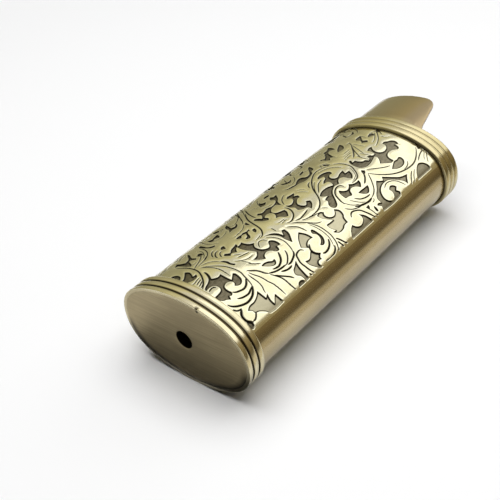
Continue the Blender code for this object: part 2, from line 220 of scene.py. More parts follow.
# Engraved lines by their greatest width: open strokes of (y, s), in millimetres
LINES = {
    0.42: [
        [(5.5, 9.2), (5, 9.6), (4.6, 10.1), (4.5, 10.8), (4.7, 11.4), (5.4, 12)],
    ],
    0.38: [
        [(10.4, 7.4), (9.8, 8), (9, 8.6), (8.2, 8.9), (7.2, 9), (6.1, 8.7), (5.2, 8.2), (4.7, 7.7),
         (4.5, 7.1)],
        [(42.4, 9.5), (41.3, 9.7), (40.1, 9.5), (39, 9.2), (38.1, 8.7)],
    ],
    0.36: [
        [(10.8, 5.6), (10.4, 6.1), (9.7, 6.6), (8.9, 6.8), (8.1, 6.6), (7.4, 6.3), (7.1, 5.9)],
        [(19.3, 5.7), (18.8, 6.5), (18.2, 7.2), (17.5, 7.6), (16.9, 7.8), (16.1, 7.7), (15.6, 7.5)],
    ],
    0.35: [
        [(58, -8.2), (57, -6.5), (57.7, -6.1), (58.7, -6.2)],
    ],
    0.34: [
        [(10.3, 7.4), (9.6, 7.7), (8.7, 8), (7.7, 7.9), (7.1, 7.7), (6.6, 7.4)],
        [(14.4, 7.6), (14.6, 7.7), (15.5, 8.1), (16.3, 8.3), (17.3, 8.4), (18, 8.4)],
        [(16.3, 8.8), (16.9, 9.1), (17.6, 9.3), (18.2, 9.3), (18.7, 9.2)],
        [(21.3, 7.4), (20.8, 8), (20, 8.4), (19.1, 8.7), (18.3, 8.7)],
        [(24.6, 8.4), (24.1, 8.9), (23.8, 9.5), (24, 10.3), (24.6, 11)],
        [(24.6, 12.5), (25.4, 12.7), (26.2, 12.7), (27, 12.5), (27.7, 12.1), (28.2, 11.5)],
        [(25.1, 11.2), (25.7, 11.4), (26.5, 11.3), (27.2, 11), (27.8, 10.5), (28.2, 9.9)],
    ],
    0.3: [
        [(4.4, 8.3), (4.6, 8.8), (5.1, 9.1), (5.6, 9.1)],
        [(4.7, 3.1), (5.2, 2.9), (5.8, 2.9), (6.1, 3.3)],
        [(7.3, -7.1), (7.7, -5.5), (7.9, -4.2), (7.9, -3.2), (7.7, -2), (7.1, -0.8), (6.3, 0.3),
         (5.4, 1.2), (4.5, 1.8)],
        [(12.4, 4.6), (12.7, 5), (13.3, 5.6), (13.7, 6.3), (14, 7.1), (14.4, 7.6)],
        [(14.8, 8.5), (15.4, 9.2), (16.1, 9.9), (16.7, 10.5), (17.1, 11.1)],
        [(22.8, 8.6), (22.4, 8.1), (21.7, 8.1), (21, 8.4), (20.6, 9.1), (20.3, 9.9), (20.4, 10.8),
         (20.6, 11.8), (20.9, 12.5), (21.2, 13)],
        [(25.9, -7.2), (24.7, -5.9), (23.8, -4.5), (23.2, -3), (22.8, -1.7), (22.3, -0.4), (21.6, 0.5),
         (20.9, 1), (20.2, 1.1)],
        [(27.7, 3.1), (28.6, 3.4), (29.7, 3.3), (30.8, 3.1), (31.4, 2.9)],
        [(29.3, 11.4), (29.5, 12.1), (29.7, 12.9)],
        [(29.5, 10.7), (30, 11.5), (30.4, 12.3), (30.9, 12.9)],
        [(29.7, -0.9), (29.8, -0.1), (29.5, 0.9), (28.8, 1.8), (27.8, 2.4), (26.9, 2.6), (26.3, 2.3)],
        [(35.5, 9.8), (36, 9.3), (36.6, 9.1), (37.3, 9.3), (38.1, 9.8), (38.6, 10.6), (39.1, 11.5),
         (39.6, 12.5), (39.8, 12.9)],
        [(41, 4.2), (40.7, 3.4), (39.8, 3.3), (38.8, 3.7), (38, 4.4), (37.5, 5.4), (37.2, 6.3),
         (37.2, 7.1)],
        [(46.7, 4.6), (46, 5.4), (45.2, 6), (44.3, 6.5)], [(48.6, -12), (47.5, -9.6), (48.1, -9)],
        [(59.9, -11.9), (58.9, -9.9), (58.4, -8.1)],
    ],
    0.28: [
        [(19.3, -9), (20, -8.5), (20.6, -7.9)], [(20.1, 12.2), (20.2, 12.6), (20.4, 12.9)],
        [(39.7, 7.4), (40.3, 8.2), (41.1, 8.6), (42, 8.8), (42.8, 8.8)],
        [(45.3, -2.3), (44.4, -2.9), (43.3, -3.3), (42.1, -3.3), (40.8, -2.8), (39.4, -2), (37.9, -0.8),
         (36.8, 0.4), (36.1, 1.5), (35.4, 2.5), (34.4, 3.5), (33.2, 4.2), (31.9, 4.5), (30.5, 4.5),
         (29.3, 4.3), (28.5, 3.9)],
        [(47.2, 5.3), (47.9, 6.4), (48.9, 7.5), (50.4, 8.6), (51.9, 9.3), (53.4, 9.7), (55, 9.9),
         (56.6, 9.8), (58.2, 9.2), (59.5, 8.4), (60.4, 7.7)],
        [(53.6, -2.8), (52.2, -1.5), (50.9, -0.4), (49.8, 0.3)],
    ],
    0.26: [
        [(5.5, 11.9), (6, 11.9), (6.5, 11.6), (6.9, 11.2), (7, 11)],
        [(13.9, -3.2), (13.1, -3), (12.4, -2.3), (12.2, -1.6)],
        [(14.4, 7.9), (14.8, 8.6), (15.3, 9.6), (15.5, 10.6), (15.6, 11.7), (15.9, 12.9)],
        [(20.4, 6.3), (20, 7.1), (19.3, 7.8), (18.4, 8.4), (17.9, 8.5)],
        [(27.3, -8.6), (25.9, -6.4), (25.2, -4.7), (25, -3.7)],
        [(46.1, -1.8), (46.7, -0.9), (47, 0.3), (47, 1.6), (46.4, 2.8), (45.7, 3.8), (44.8, 4.5),
         (43.8, 4.7), (42.8, 4.7)],
    ],
    0.24: [
        [(5.9, 0.4), (5.3, 0.7), (4.7, 0.9)], [(6.2, -0.1), (5.4, 0.1), (4.8, 0.3)],
        [(13.7, -4), (13.1, -3.8), (12.5, -3.3), (12, -2.5)],
        [(14, 1.3), (14.5, 1.5), (15.2, 1.7), (15.8, 1.9), (16.1, 1.9)],
        [(25.3, 3), (25.9, 3.6), (26.5, 4.4), (26.7, 5.3), (26.8, 6.3)],
        [(26.7, 3), (27.6, 3.8), (28.3, 4.7), (28.8, 5.4), (29.6, 6.3), (30.5, 6.7)],
        [(38.8, -2.1), (37.9, -1.7), (37.1, -0.8)], [(44.7, -4), (44.4, -3.3)],
        [(48, 4.5), (49, 5.3), (50.1, 6.1), (51.1, 6.7), (52.1, 7.1)],
        [(57.8, 10.1), (58.7, 9.6), (59.8, 9.2), (60.9, 9)],
    ],
    0.22: [
        [(8.1, -3.3), (9, -3.7), (10.1, -4.1), (11, -4.6), (11.8, -5.2)],
        [(9, -2.2), (9.8, -1.1), (10.4, -0.1), (10.9, 0.9), (11.2, 2), (11.4, 3.1), (11.4, 4.1),
         (11.1, 5.1), (10.8, 6.2), (10.5, 7.1), (10, 7.8)],
        [(12.2, 5.1), (12.4, 6), (12.7, 6.8), (12.9, 7.7), (13, 8.6), (13.3, 9.5), (13.4, 10.3),
         (13.5, 11.2), (13.6, 12.2)],
        [(13.7, -7.4), (13.6, -6.3), (13, -4.9), (12.1, -4), (11.2, -3.5), (10.7, -3.3)],
        [(14, -2.4), (13.4, -2.2), (12.9, -1.6), (12.7, -1.1)],
        [(28.4, 5.2), (28.9, 6.1), (29.2, 7.1), (29.3, 8.3), (29.3, 9.5), (29.1, 10.6), (28.8, 11.6),
         (28.3, 12.4), (27.9, 13)],
        [(33.7, -12), (34.7, -11.9), (35.5, -11.8), (34.2, -8.6)],
        [(36.2, 7.7), (37.1, 8.7), (38.2, 9.2), (39.1, 9.4)],
        [(40.4, -0.5), (39.8, -0.4), (38.9, -0.1), (37.8, 0.7), (36.7, 1.6)],
        [(47.1, 5.4), (46.3, 6.5), (45.3, 7.7), (44.4, 8.6), (43.4, 9.2), (42.3, 9.5)],
        [(53.3, -2.5), (52, -1), (51.1, 0.4), (50.6, 1.3)],
        [(54.5, 10.7), (53.5, 11.3), (52.6, 12.1), (52.1, 12.6)],
        [(60.7, -1.7), (59.5, -0.6), (58.1, 0.5), (56.7, 1.2), (55.5, 1.6)],
    ],
    0.2: [
        [(5.5, 1), (4.9, 1.3), (4.6, 1.4)], [(6.5, -0.7), (5.6, -0.5), (4.8, -0.3), (4.5, -0.4)],
        [(8.8, -2.4), (9.1, -1.8), (9.5, -0.9), (9.8, 0.1), (9.9, 1.1), (9.8, 2.3), (9.7, 3.2)],
        [(8.9, -3.2), (9.8, -3.3), (10.8, -3.5), (11.8, -4)],
        [(11.8, 5.3), (11.7, 6.3), (11.7, 7.4), (11.5, 8.5), (11.1, 9.3), (10.9, 9.8)],
        [(13.9, 3.7), (14.4, 4.5), (15.2, 5.2)],
        [(18.2, 2.7), (18.6, 2.1), (19.2, 1.6), (19.9, 1.7), (20.2, 2.1), (20.3, 2.5)],
        [(20.9, 1.9), (21.5, 2.6), (22, 3.7), (22.1, 4.9), (21.8, 6.1), (21.4, 7.1), (20.9, 7.8)],
        [(23.4, 1), (23.4, 1.6), (23.3, 2.2)],
        [(27, -11.7), (25, -8.3), (24.1, -6.7), (23.2, -5.5), (22.5, -4.8)],
        [(28.6, 4.1), (29.7, 4.4), (30.6, 4.7), (31.5, 4.9), (32, 5)],
        [(33.4, -3.9), (32.5, -3.6), (31.6, -3), (30.9, -2.2), (30.5, -1.6)],
        [(39.8, 10.6), (40.1, 11.4), (40.3, 12.3), (40.7, 12.9)],
        [(46.3, 9.8), (47.1, 9.4), (47.9, 9.3), (48.9, 9.6), (49.7, 10.2), (50.3, 11.1), (50.7, 11.9)],
        [(53.5, 9.5), (54.3, 9.5), (55.2, 9.2), (55.8, 8.7)],
        [(53.9, -4.1), (54.6, -4.1), (53.9, -3.1), (52.7, -2.1)],
        [(61.1, -1.5), (60.4, -0.6), (59.8, 0.2)], [(61.5, -8.4), (60.9, -7), (60.1, -6), (59, -5.1)],
        [(21.5, -11.9), (22.6, -11.9), (23.5, -11.9), (24.4, -11.9)],
    ],
    0.18: [
        [(12.9, 1.5), (13.8, 2.4), (14.9, 2.9), (16, 2.9)], [(19.4, 0.9), (20.2, 0.8), (20.9, 0.6)],
        [(22.3, -4.4), (21.3, -3.7), (20.3, -3.4), (19.3, -3.3), (18.4, -3.3)],
        [(25.3, 1), (26, 1.2), (26.9, 1.2)], [(25.6, 1.7), (26.3, 1.6), (27, 1.6)],
        [(37.3, 6.9), (37.7, 7.8), (38.4, 8.5), (39.3, 8.9)],
        [(38.6, 7.1), (39.2, 8.1), (39.9, 8.9), (40.6, 9.3)],
        [(42.2, -2.6), (43.4, -2.4), (44.5, -1.8), (45.3, -0.8), (45.7, 0.4)],
        [(53.8, -2.7), (53.1, -1.4), (52.5, 0), (52, 1.1)],
        [(56.3, 0.4), (57.5, 0), (58.7, -0.7), (59.7, -1.5)], [(59.4, 11.5), (60.2, 10.6), (61.1, 10)],
        [(18.7, -11.9), (19.5, -11.9), (20.6, -11.9), (21.5, -11.9)],
        [(16.3, -6.6), (17.3, -5.9), (18.6, -5.9), (19.8, -6.5)],
        [(23.7, -11.9), (24.6, -11.9), (25.5, -11.9)],
        [(21.3, -7.5), (21.9, -6.7), (23.3, -7), (25, -8.3)], [(27.8, -12.1), (25, -8), (23.5, -6.1)],
        [(29.7, -10.5), (30.2, -9.7), (32.1, -10.9)], [(33.4, -11.9), (33.9, -11.3), (34.6, -10.7)],
        [(28.2, -5), (28.9, -4.3), (29.8, -4.1)], [(13.7, -11.9), (14.4, -11.8), (14.3, -10)],
        [(9.5, -9.5), (11.2, -11), (11.5, -9.8)], [(39, -8.6), (37.4, -6.4), (38, -5.9)],
        [(40.8, -8.5), (41.1, -7.3), (42.3, -7.1)], [(41, -6), (42.2, -6), (42.9, -5.5)],
        [(44.7, -4.3), (45.5, -3.8), (46.1, -3.3)], [(46.1, -8.8), (47.8, -8.2), (48.9, -7.5)],
        [(48.3, -5.9), (50.7, -6.3), (51.5, -5.8)], [(48.9, -4.6), (48.6, -3)],
        [(56.4, -7.3), (57, -6.3)], [(56.4, -3.7), (57.7, -3.5), (57.5, -2)],
        [(59.2, -9.9), (60, -8.5), (59.8, -6.5)], [(58.7, -2.1), (60, -2), (60.4, -0.9)],
        [(51.7, 0.5), (52, 1.9), (52.3, 3.1)], [(50.6, 0.6), (50.6, 1.9), (51.1, 3.5)],
    ],
    0.16: [
        [(9.2, -2.8), (10, -2.5), (10.7, -2), (11.2, -1.3), (11.5, -0.5)],
        [(12.6, -7.1), (12.9, -6.6), (12.7, -5.7), (12, -4.7), (11.2, -4)],
        [(14.1, 0.3), (14.6, 0.9), (15, 1.2)],
        [(17.2, -11.9), (15.6, -8.5), (15.3, -7), (15.5, -5.8), (16, -5.1)],
        [(28.3, 5.6), (28.6, 6.7), (28.7, 7.8), (28.7, 8.8), (28.6, 9.8), (28.3, 10.7), (27.9, 11.5)],
        [(31.1, -8.9), (29.9, -7.7), (29.1, -6.6)],
        [(36.5, -6.2), (36.9, -5.4), (37.9, -5.3), (39.1, -5.9), (40.3, -7.2)],
        [(39.2, -1.2), (38.1, -0.5), (36.9, 0.6), (36.2, 1.5)], [(42.6, 9.8), (42.2, 10.2), (41.6, 10.3)],
        [(55.3, 10.8), (54, 11.7), (53.1, 12.6), (52.9, 13)], [(18, -7.4), (19.4, -7.7), (20.5, -8)],
        [(28.9, -11.9), (26.5, -8.4), (24.9, -6.4)], [(27.3, -7.2), (28, -6.6), (28.4, -5.9)],
        [(11.4, -6.1), (11.5, -5.2), (12.3, -5.2)], [(8.1, -5.3), (8.9, -4.6), (9.8, -4.5)],
        [(6.8, -8.7), (7.9, -8.5), (8.5, -7.8)],
    ],
    0.14: [
        [(13.6, 2.5), (14, 3.3), (14.2, 4.1)], [(28.6, 12.3), (28.3, 12.8), (28.4, 13.2)],
        [(46.5, 1.6), (46, 2.7), (45.2, 3.8), (44.2, 4.3), (43.3, 4.5)],
        [(59.1, 0.6), (59.2, 1.4), (59.9, 1.9)], [(60.8, 9.5), (59.8, 10.1), (59.1, 10.7)],
    ],
    0.12: [
        [(33.5, 4.6), (34.1, 5.3)], [(33.5, 4.6), (34.2, 5.5)],
        [(48.2, -0.6), (49.3, -0.7), (50.4, -0.7)], [(48.6, -1.1), (50, -1.3), (51.2, -1.3)],
        [(49.4, -1.8), (50.6, -1.8), (51.7, -1.8)], [(50.3, -2.3), (51.2, -2.3), (52.1, -2.4)],
        [(54.3, -2.9), (54.3, -1.6), (54.3, -0.3)],
    ],
    0.1: [
        [(35.2, -1.9), (35.6, -1.1), (35.8, -0.3)], [(35.6, -2.5), (36.1, -1.8), (36.2, -1)],
    ],
}

# Pockets that fill the upper border too: number, whether they are turned half round, and how far they move
UPPER_BORDER = [(number, True, 0.0, 0.0) for number in (3, 4, 15, 16, 17, 30, 35, 36, 40)]
UPPER_BORDER += [(30, True, -12.1, 0.0), (5, False, 27.3, -3.9)]
# Lines that lie wholly beyond this far round are cut again, turned, in the upper border
BORDER_LINES_FROM = 8.0
# Pockets whose ground is brightened as a painted highlight, and how far
SHEEN_POCKETS = {3: 0.45, 12: 0.3, 14: 0.45, 15: 0.3, 16: 0.25, 29: 0.55, 30: 0.15, 34: 0.15, 39: 0.15,
                40: 0.15}


def oval(turn, inset):
    """Points of the case's section, drawn inwards by inset, and their outward directions, as x and z.

    The turn is 0 at the front's middle and a quarter turn at the +X end.
    """
    outward = np.stack([np.sin(turn) / HALF_WIDTH, np.cos(turn) / HALF_THICKNESS], -1)
    outward /= np.linalg.norm(outward, axis=-1, keepdims=True)
    fullness = SHOULDER_FULLNESS * (np.sin(2 * turn) * np.sin(turn)) ** 2
    on_ellipse = np.stack([HALF_WIDTH * np.sin(turn), HALF_THICKNESS * np.cos(turn)], -1)
    return on_ellipse + (fullness - inset)[..., None] * outward, outward


TURNS = np.linspace(-math.pi, 2 * math.pi, TURN_STEPS + 1)
TUBE_SECTION = oval(TURNS, np.full(TURNS.shape, TUBE_INSET))[0]
ARCS = np.concatenate([[0.0], np.cumsum(np.linalg.norm(np.diff(TUBE_SECTION, axis=0), axis=1))])
ARCS -= np.interp(0.0, TURNS, ARCS)


def turn_at(arc):
    return np.interp(arc, ARCS, TURNS)


def arc_at(turn):
    return np.interp(turn, TURNS, ARCS)


def on_tube(arc, along, depth):
    """Points of the tube's wall: arc round it, along it from the lower end, depth below its outer face."""
    arc, along, depth = np.broadcast_arrays(arc, along, depth)
    section = oval(turn_at(arc), TUBE_INSET + depth)[0]
    return np.stack([section[..., 0], LOWER_END + along, AXIS_HEIGHT + section[..., 1]], -1)


def smooth_step(value):
    held = np.clip(value, 0.0, 1.0)
    return held * held * (3 - 2 * held)


def quads(numbers):
    """Faces between neighbouring rows and columns of point numbers."""
    corners = (numbers[:-1, :-1], numbers[:-1, 1:], numbers[1:, 1:], numbers[1:, :-1])
    return np.stack([corner.ravel() for corner in corners], -1)


def ring_faces(rings, count):
    """Faces of a skin that closes on itself: from ring to ring, and from the last ring to the first."""
    numbers = np.arange(rings * count).reshape(rings, count)
    numbers = np.concatenate([numbers, numbers[:1]])
    return quads(np.concatenate([numbers, numbers[:, :1]], axis=1)).tolist()


def make_mesh(name, points, faces):
    mesh = bpy.data.meshes.new(name)
    mesh.from_pydata(np.asarray(points, float).reshape(-1, 3).tolist(), [], faces)
    if mesh.validate(verbose=False):
        raise RuntimeError(f"{name}: its faces are not sound")
    return mesh


def show(name, mesh, material, node):
    """Link a finished piece, let it ride on the case and take the place of its CAD node."""
    old = bpy.data.objects.get(name)
    if old is not None:
        bpy.data.objects.remove(old, do_unlink=True)
    piece = bpy.data.objects.new(name, mesh)
    bpy.context.scene.collection.objects.link(piece)
    mesh.materials.clear()
    mesh.materials.append(material)
    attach(piece, BODY)
    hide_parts(node)
    return piece


def smooth_with_edges(mesh, angle):
    mesh.shade_smooth()
    mesh.set_sharp_from_angle(angle=math.radians(angle))


def turn_outwards(mesh):
    work = bmesh.new()
    work.from_mesh(mesh)
    bmesh.ops.recalc_face_normals(work, faces=work.faces)
    work.to_mesh(mesh)
    work.free()


def points_of(mesh):
    points = np.empty(len(mesh.vertices) * 3)
    mesh.vertices.foreach_get("co", points)
    return points.reshape(-1, 3)


def mark(mesh, name, values):
    """Store a value at each point of a piece, for its finish to read."""
    attribute = mesh.attributes.get(name) or mesh.attributes.new(name, "FLOAT", "POINT")
    attribute.data.foreach_set("value", np.ravel(values).astype(np.float32))


# Sleeve

def arc_points(centre, radius, start, end, count):
    turns = np.linspace(start, end, count)
    return np.stack([centre[0] + radius * np.cos(turns), centre[1] + radius * np.sin(turns)], -1)


def mouth_outline(look):
    """The tube's upper edge seen from the front, x and height, from the -X end to the +X end.

    It runs along the guard's flat top, round its tip, down its leaning edge, through the fillet at its root
    and along the rim.
    """
    rise = GUARD_TOP - RIM
    lean = look.guard_lean
    setback = math.tan(math.pi / 4 - lean / 2)
    tip_x = look.guard_reach - rise * math.tan(lean) - look.tip_radius * setback
    root_x = look.guard_reach + look.root_radius * setback
    end = HALF_WIDTH - TUBE_INSET
    to_tip, to_root = math.asin(tip_x / end), math.asin(root_x / end)
    top_x = end * np.sin(np.linspace(-QUARTER, to_tip, look.edge_points)[:-1])
    rim_x = end * np.sin(np.linspace(to_root, QUARTER, look.edge_points)[1:])
    tip = arc_points((tip_x, GUARD_TOP - look.tip_radius), look.tip_radius, QUARTER, lean, look.bend_points)
    root_middle = (root_x, RIM + look.root_radius)
    root = arc_points(root_middle, look.root_radius, math.pi + lean, 3 * QUARTER, look.bend_points)
    leaning = np.linspace(tip[-1], root[0], look.bend_points)[1:-1]
    top = np.stack([top_x, np.full(top_x.shape, GUARD_TOP)], -1)
    rim = np.stack([rim_x, np.full(rim_x.shape, RIM)], -1)
    return np.concatenate([top, tip, leaning, root, rim])


def mouth_loop(look):
    """The same edge all the way round the tube, as arc lengths and heights."""
    half = mouth_outline(look)
    quarter = (TURNS >= -QUARTER) & (TURNS <= QUARTER)
    front_turns = np.interp(half[:, 0], TUBE_SECTION[quarter, 0], TURNS[quarter])
    front_turns[0], front_turns[-1] = -QUARTER, QUARTER
    turns = np.concatenate([front_turns, (math.pi - front_turns)[::-1][1:-1]])
    heights = np.concatenate([half[:, 1], half[::-1, 1][1:-1]])
    steps = []
    for middle in (0.0, arc_at(math.pi)):
        for side in (-1, 1):
            steps += [middle + side * FIELD_HALF, middle + side * (FIELD_HALF + CLEARANCE)]
    arcs = np.concatenate([arc_at(turns), steps])
    heights = np.concatenate([heights, np.interp(steps, arc_at(turns), heights)])
    order = np.argsort(arcs)
    return arcs[order], heights[order]


def inward_of(arcs, heights, whole_round):
    """Directions within the wall, square to the mouth's edge and away from it."""
    ahead = np.roll(arcs, -2)
    ahead[-2:] += whole_round
    behind = np.roll(arcs, 2)
    behind[:2] -= whole_round
    run = ahead - behind
    climb = np.roll(heights, -2) - np.roll(heights, 2)
    inward = np.stack([climb, -run], -1)
    return inward / np.linalg.norm(inward, axis=1, keepdims=True)


def build_sleeve(look):
    """The tube with its wind guard and rounded mouth, its broad faces sunk under the carving."""
    arcs, heights = mouth_loop(look)
    whole_round = arc_at(1.5 * math.pi) - arc_at(-QUARTER)
    inward = inward_of(arcs, heights, whole_round)
    from_front = np.abs(arcs)
    from_back = np.abs(arcs - arc_at(math.pi))
    in_field = np.minimum(from_front, from_back) <= FIELD_HALF + CLEARANCE / 2
    bend = look.edge_round
    rings = []
    lip_arcs = arcs + bend * inward[:, 0]
    lip_heights = heights + bend * inward[:, 1]
    low, high = FIELD_LOW - CLEARANCE, FIELD_HIGH + CLEARANCE
    for height in (FOOT, low - CLEARANCE, low, high, high + CLEARANCE):
        sunk = np.where(in_field & (low <= height <= high), RECESS, 0.0)
        rings.append(on_tube(arcs, height, sunk))
    for share in np.linspace(0.0, 1.0, look.wall_rows)[1:-1]:
        wall_arcs = arcs + share * (lip_arcs - arcs)
        rings.append(on_tube(wall_arcs, high + CLEARANCE + share * (lip_heights - high - CLEARANCE), 0.0))
    quarter_steps = np.linspace(0.0, QUARTER, look.lip_points)
    for outer in (True, False):
        for step in quarter_steps if outer else quarter_steps[::-1]:
            aside = bend * (1 - math.sin(step))
            down = bend * (1 - math.cos(step))
            depth = down if outer else look.sheet - down
            rings.append(on_tube(arcs + aside * inward[:, 0], heights + aside * inward[:, 1], depth))
        if outer:
            outer_rings = len(rings)
    for share in np.linspace(1.0, 0.0, look.wall_rows)[1:-1]:
        wall_arcs = arcs + share * (lip_arcs - arcs)
        rings.append(on_tube(wall_arcs, high + share * (lip_heights - high), look.sheet))
    for height in (high, low, FOOT):
        rings.append(on_tube(arcs, height, look.sheet))
    points = np.stack(rings)
    mesh = make_mesh("sleeve", points, ring_faces(len(rings), len(arcs)))
    smooth_with_edges(mesh, SHARP_EDGE)
    inside = np.zeros(points.shape[:2])
    inside[outer_rings:] = 1
    above_rim = points[..., 1] - LOWER_END - RIM
    towards_guard = smooth_step(1 + points[..., 0] / look.guard_clouding)
    # Painted shade: the inside of the tube takes a darker brass
    mark(mesh, "inside", inside)
    # Painted shade: the guard's outside takes a browner, darker brass, in full above the rim and fading out
    # towards the -X end
    mark(mesh, "guard", smooth_step(above_rim / look.guard_fade) * towards_guard * (1 - inside))
    show("tube", mesh, brushed_tube(look), "sleeve")


# Carving

# A stroke has a cusp where it turns by more than 72 degrees
CUSP = math.cos(math.radians(72))
# In millimetres, as are the lengths below that carry no unit: the step between points of a smooth stroke
STROKE_STEP = 0.12
# Where a wall begins outside its outline, as a share of its run
WALL_LEAD = 0.15
# Where the patina at a wall begins outside the outline, how soon it is full, and how soon it ends inside
INK_LEAD, INK_RISE, INK_FADE = 0.05, 0.08, 0.14
# How thin a line starts as a share of its width, its least half width, and how steeply its patina fills it
THIN_SHARE, THINNEST, INK_FILL = 0.3, 0.06, 3.5
# How far inside the side border patina, lines, the leaves' roll and the lips' painted highlight start to
# end, and how soon
INK_STOP, LINE_STOP, ROLL_STOP, LIP_STOP = (0.45, 0.2), (0.3, 0.2), (1.3, 0.9), (0.4, 0.4)
# The painted highlight along the side border, and the painted shadow under the upper band: strength and
# width
BORDER_HIGHLIGHT, BAND_SHADE = (0.5, 0.2), (0.35, 0.5)
# How many of its widths the painted highlight along the side border reaches to either side
BORDER_REACH = 1.4
# The part of a face that the band's painted shadow reaches: its middle, half width and fade
SHADE_MIDDLE, SHADE_HALF, SHADE_FADE = 1.5, 8.5, 3
# How far inside the field's own edge the leaves' roll begins
FIELD_EDGE = 0.3
# The length that is 1 on the carved skin's UV map
MAP_UNIT = 10 * MM


def unit(vectors):
    return vectors / np.maximum(np.linalg.norm(vectors, axis=-1, keepdims=True), TINY)


def rounded(points, closed):
    """A smooth stroke through given points, which keeps the cusps where the points turn sharply."""
    marks = np.array(points, float)
    count = len(marks)
    if count < 3:
        return marks
    ahead = unit(np.roll(marks, -1, 0) - marks)
    behind = unit(marks - np.roll(marks, 1, 0))
    if not closed:
        behind[0], ahead[-1] = ahead[0], behind[-1]
    cusp = (behind * ahead).sum(1) < CUSP
    if not closed:
        cusp[0] = cusp[-1] = True
    pieces = []
    for index in range(count if closed else count - 1):
        after = (index + 1) % count
        start, end = marks[index], marks[after]
        length = np.linalg.norm(end - start)
        leave = None if cusp[index] else unit(end - marks[index - 1]) * length
        reach = None if cusp[after] else unit(marks[(index + 2) % count] - start) * length
        # Beside a cusp the stroke starts or ends straight
        if leave is None and reach is None:
            leave = reach = end - start
        elif leave is None:
            leave = 1.5 * (end - start) - 0.5 * reach
        elif reach is None:
            reach = 1.5 * (end - start) - 0.5 * leave
        steps = max(2, math.ceil(length / STROKE_STEP))
        t = (np.arange(steps) / steps)[:, None]
        pieces.append((2 * t**3 - 3 * t**2 + 1) * start + (t**3 - 2 * t**2 + t) * leave
                      + (3 * t**2 - 2 * t**3) * end + (t**3 - t**2) * reach)
    stroke = np.concatenate(pieces)
    return stroke if closed else np.concatenate([stroke, marks[-1:]])


def turned(points):
    """The same points turned half round about the middle of the field."""
    return [(TURNED_ABOUT - along, -round_by) for along, round_by in points]


def distances(spots, stroke, closed):
    """How far each spot is from a stroke, and at which share of the stroke's length it is nearest."""
    starts = stroke if closed else stroke[:-1]
    ends = np.roll(stroke, -1, 0) if closed else stroke[1:]
    steps = ends - starts
    squares = np.maximum((steps**2).sum(1), TINY)
    offsets = spots[:, None, :] - starts[None]
    shares = np.clip((offsets * steps).sum(-1) / squares, 0.0, 1.0)
    gaps = np.linalg.norm(offsets - shares[..., None] * steps, axis=-1)
    nearest = gaps.argmin(1)
    rows = np.arange(len(spots))
    lengths = np.sqrt(squares)
    before = np.concatenate([[0.0], np.cumsum(lengths)])
    along = (before[nearest] + shares[rows, nearest] * lengths[nearest]) / before[-1]
    return gaps[rows, nearest], along


def inside_of(spots, outline):
    """Whether each spot lies inside a closed outline."""
    starts, ends = outline, np.roll(outline, -1, 0)
    y, s = spots[:, :1], spots[:, 1:]
    crosses = (starts[:, 1] > s) != (ends[:, 1] > s)
    rise = np.where(ends[:, 1] == starts[:, 1], TINY, ends[:, 1] - starts[:, 1])
    at = starts[:, 0] + (s - starts[:, 1]) / rise * (ends[:, 0] - starts[:, 0])
    return ((crosses & (y < at)).sum(1) % 2).astype(bool)


def off_border(round_by, stop):
    """1 inside the field, falling to 0 where something stops before the side border."""
    start, run = stop
    return 1 - smooth_step((np.abs(round_by) - SIDE_BORDER + start) / run)


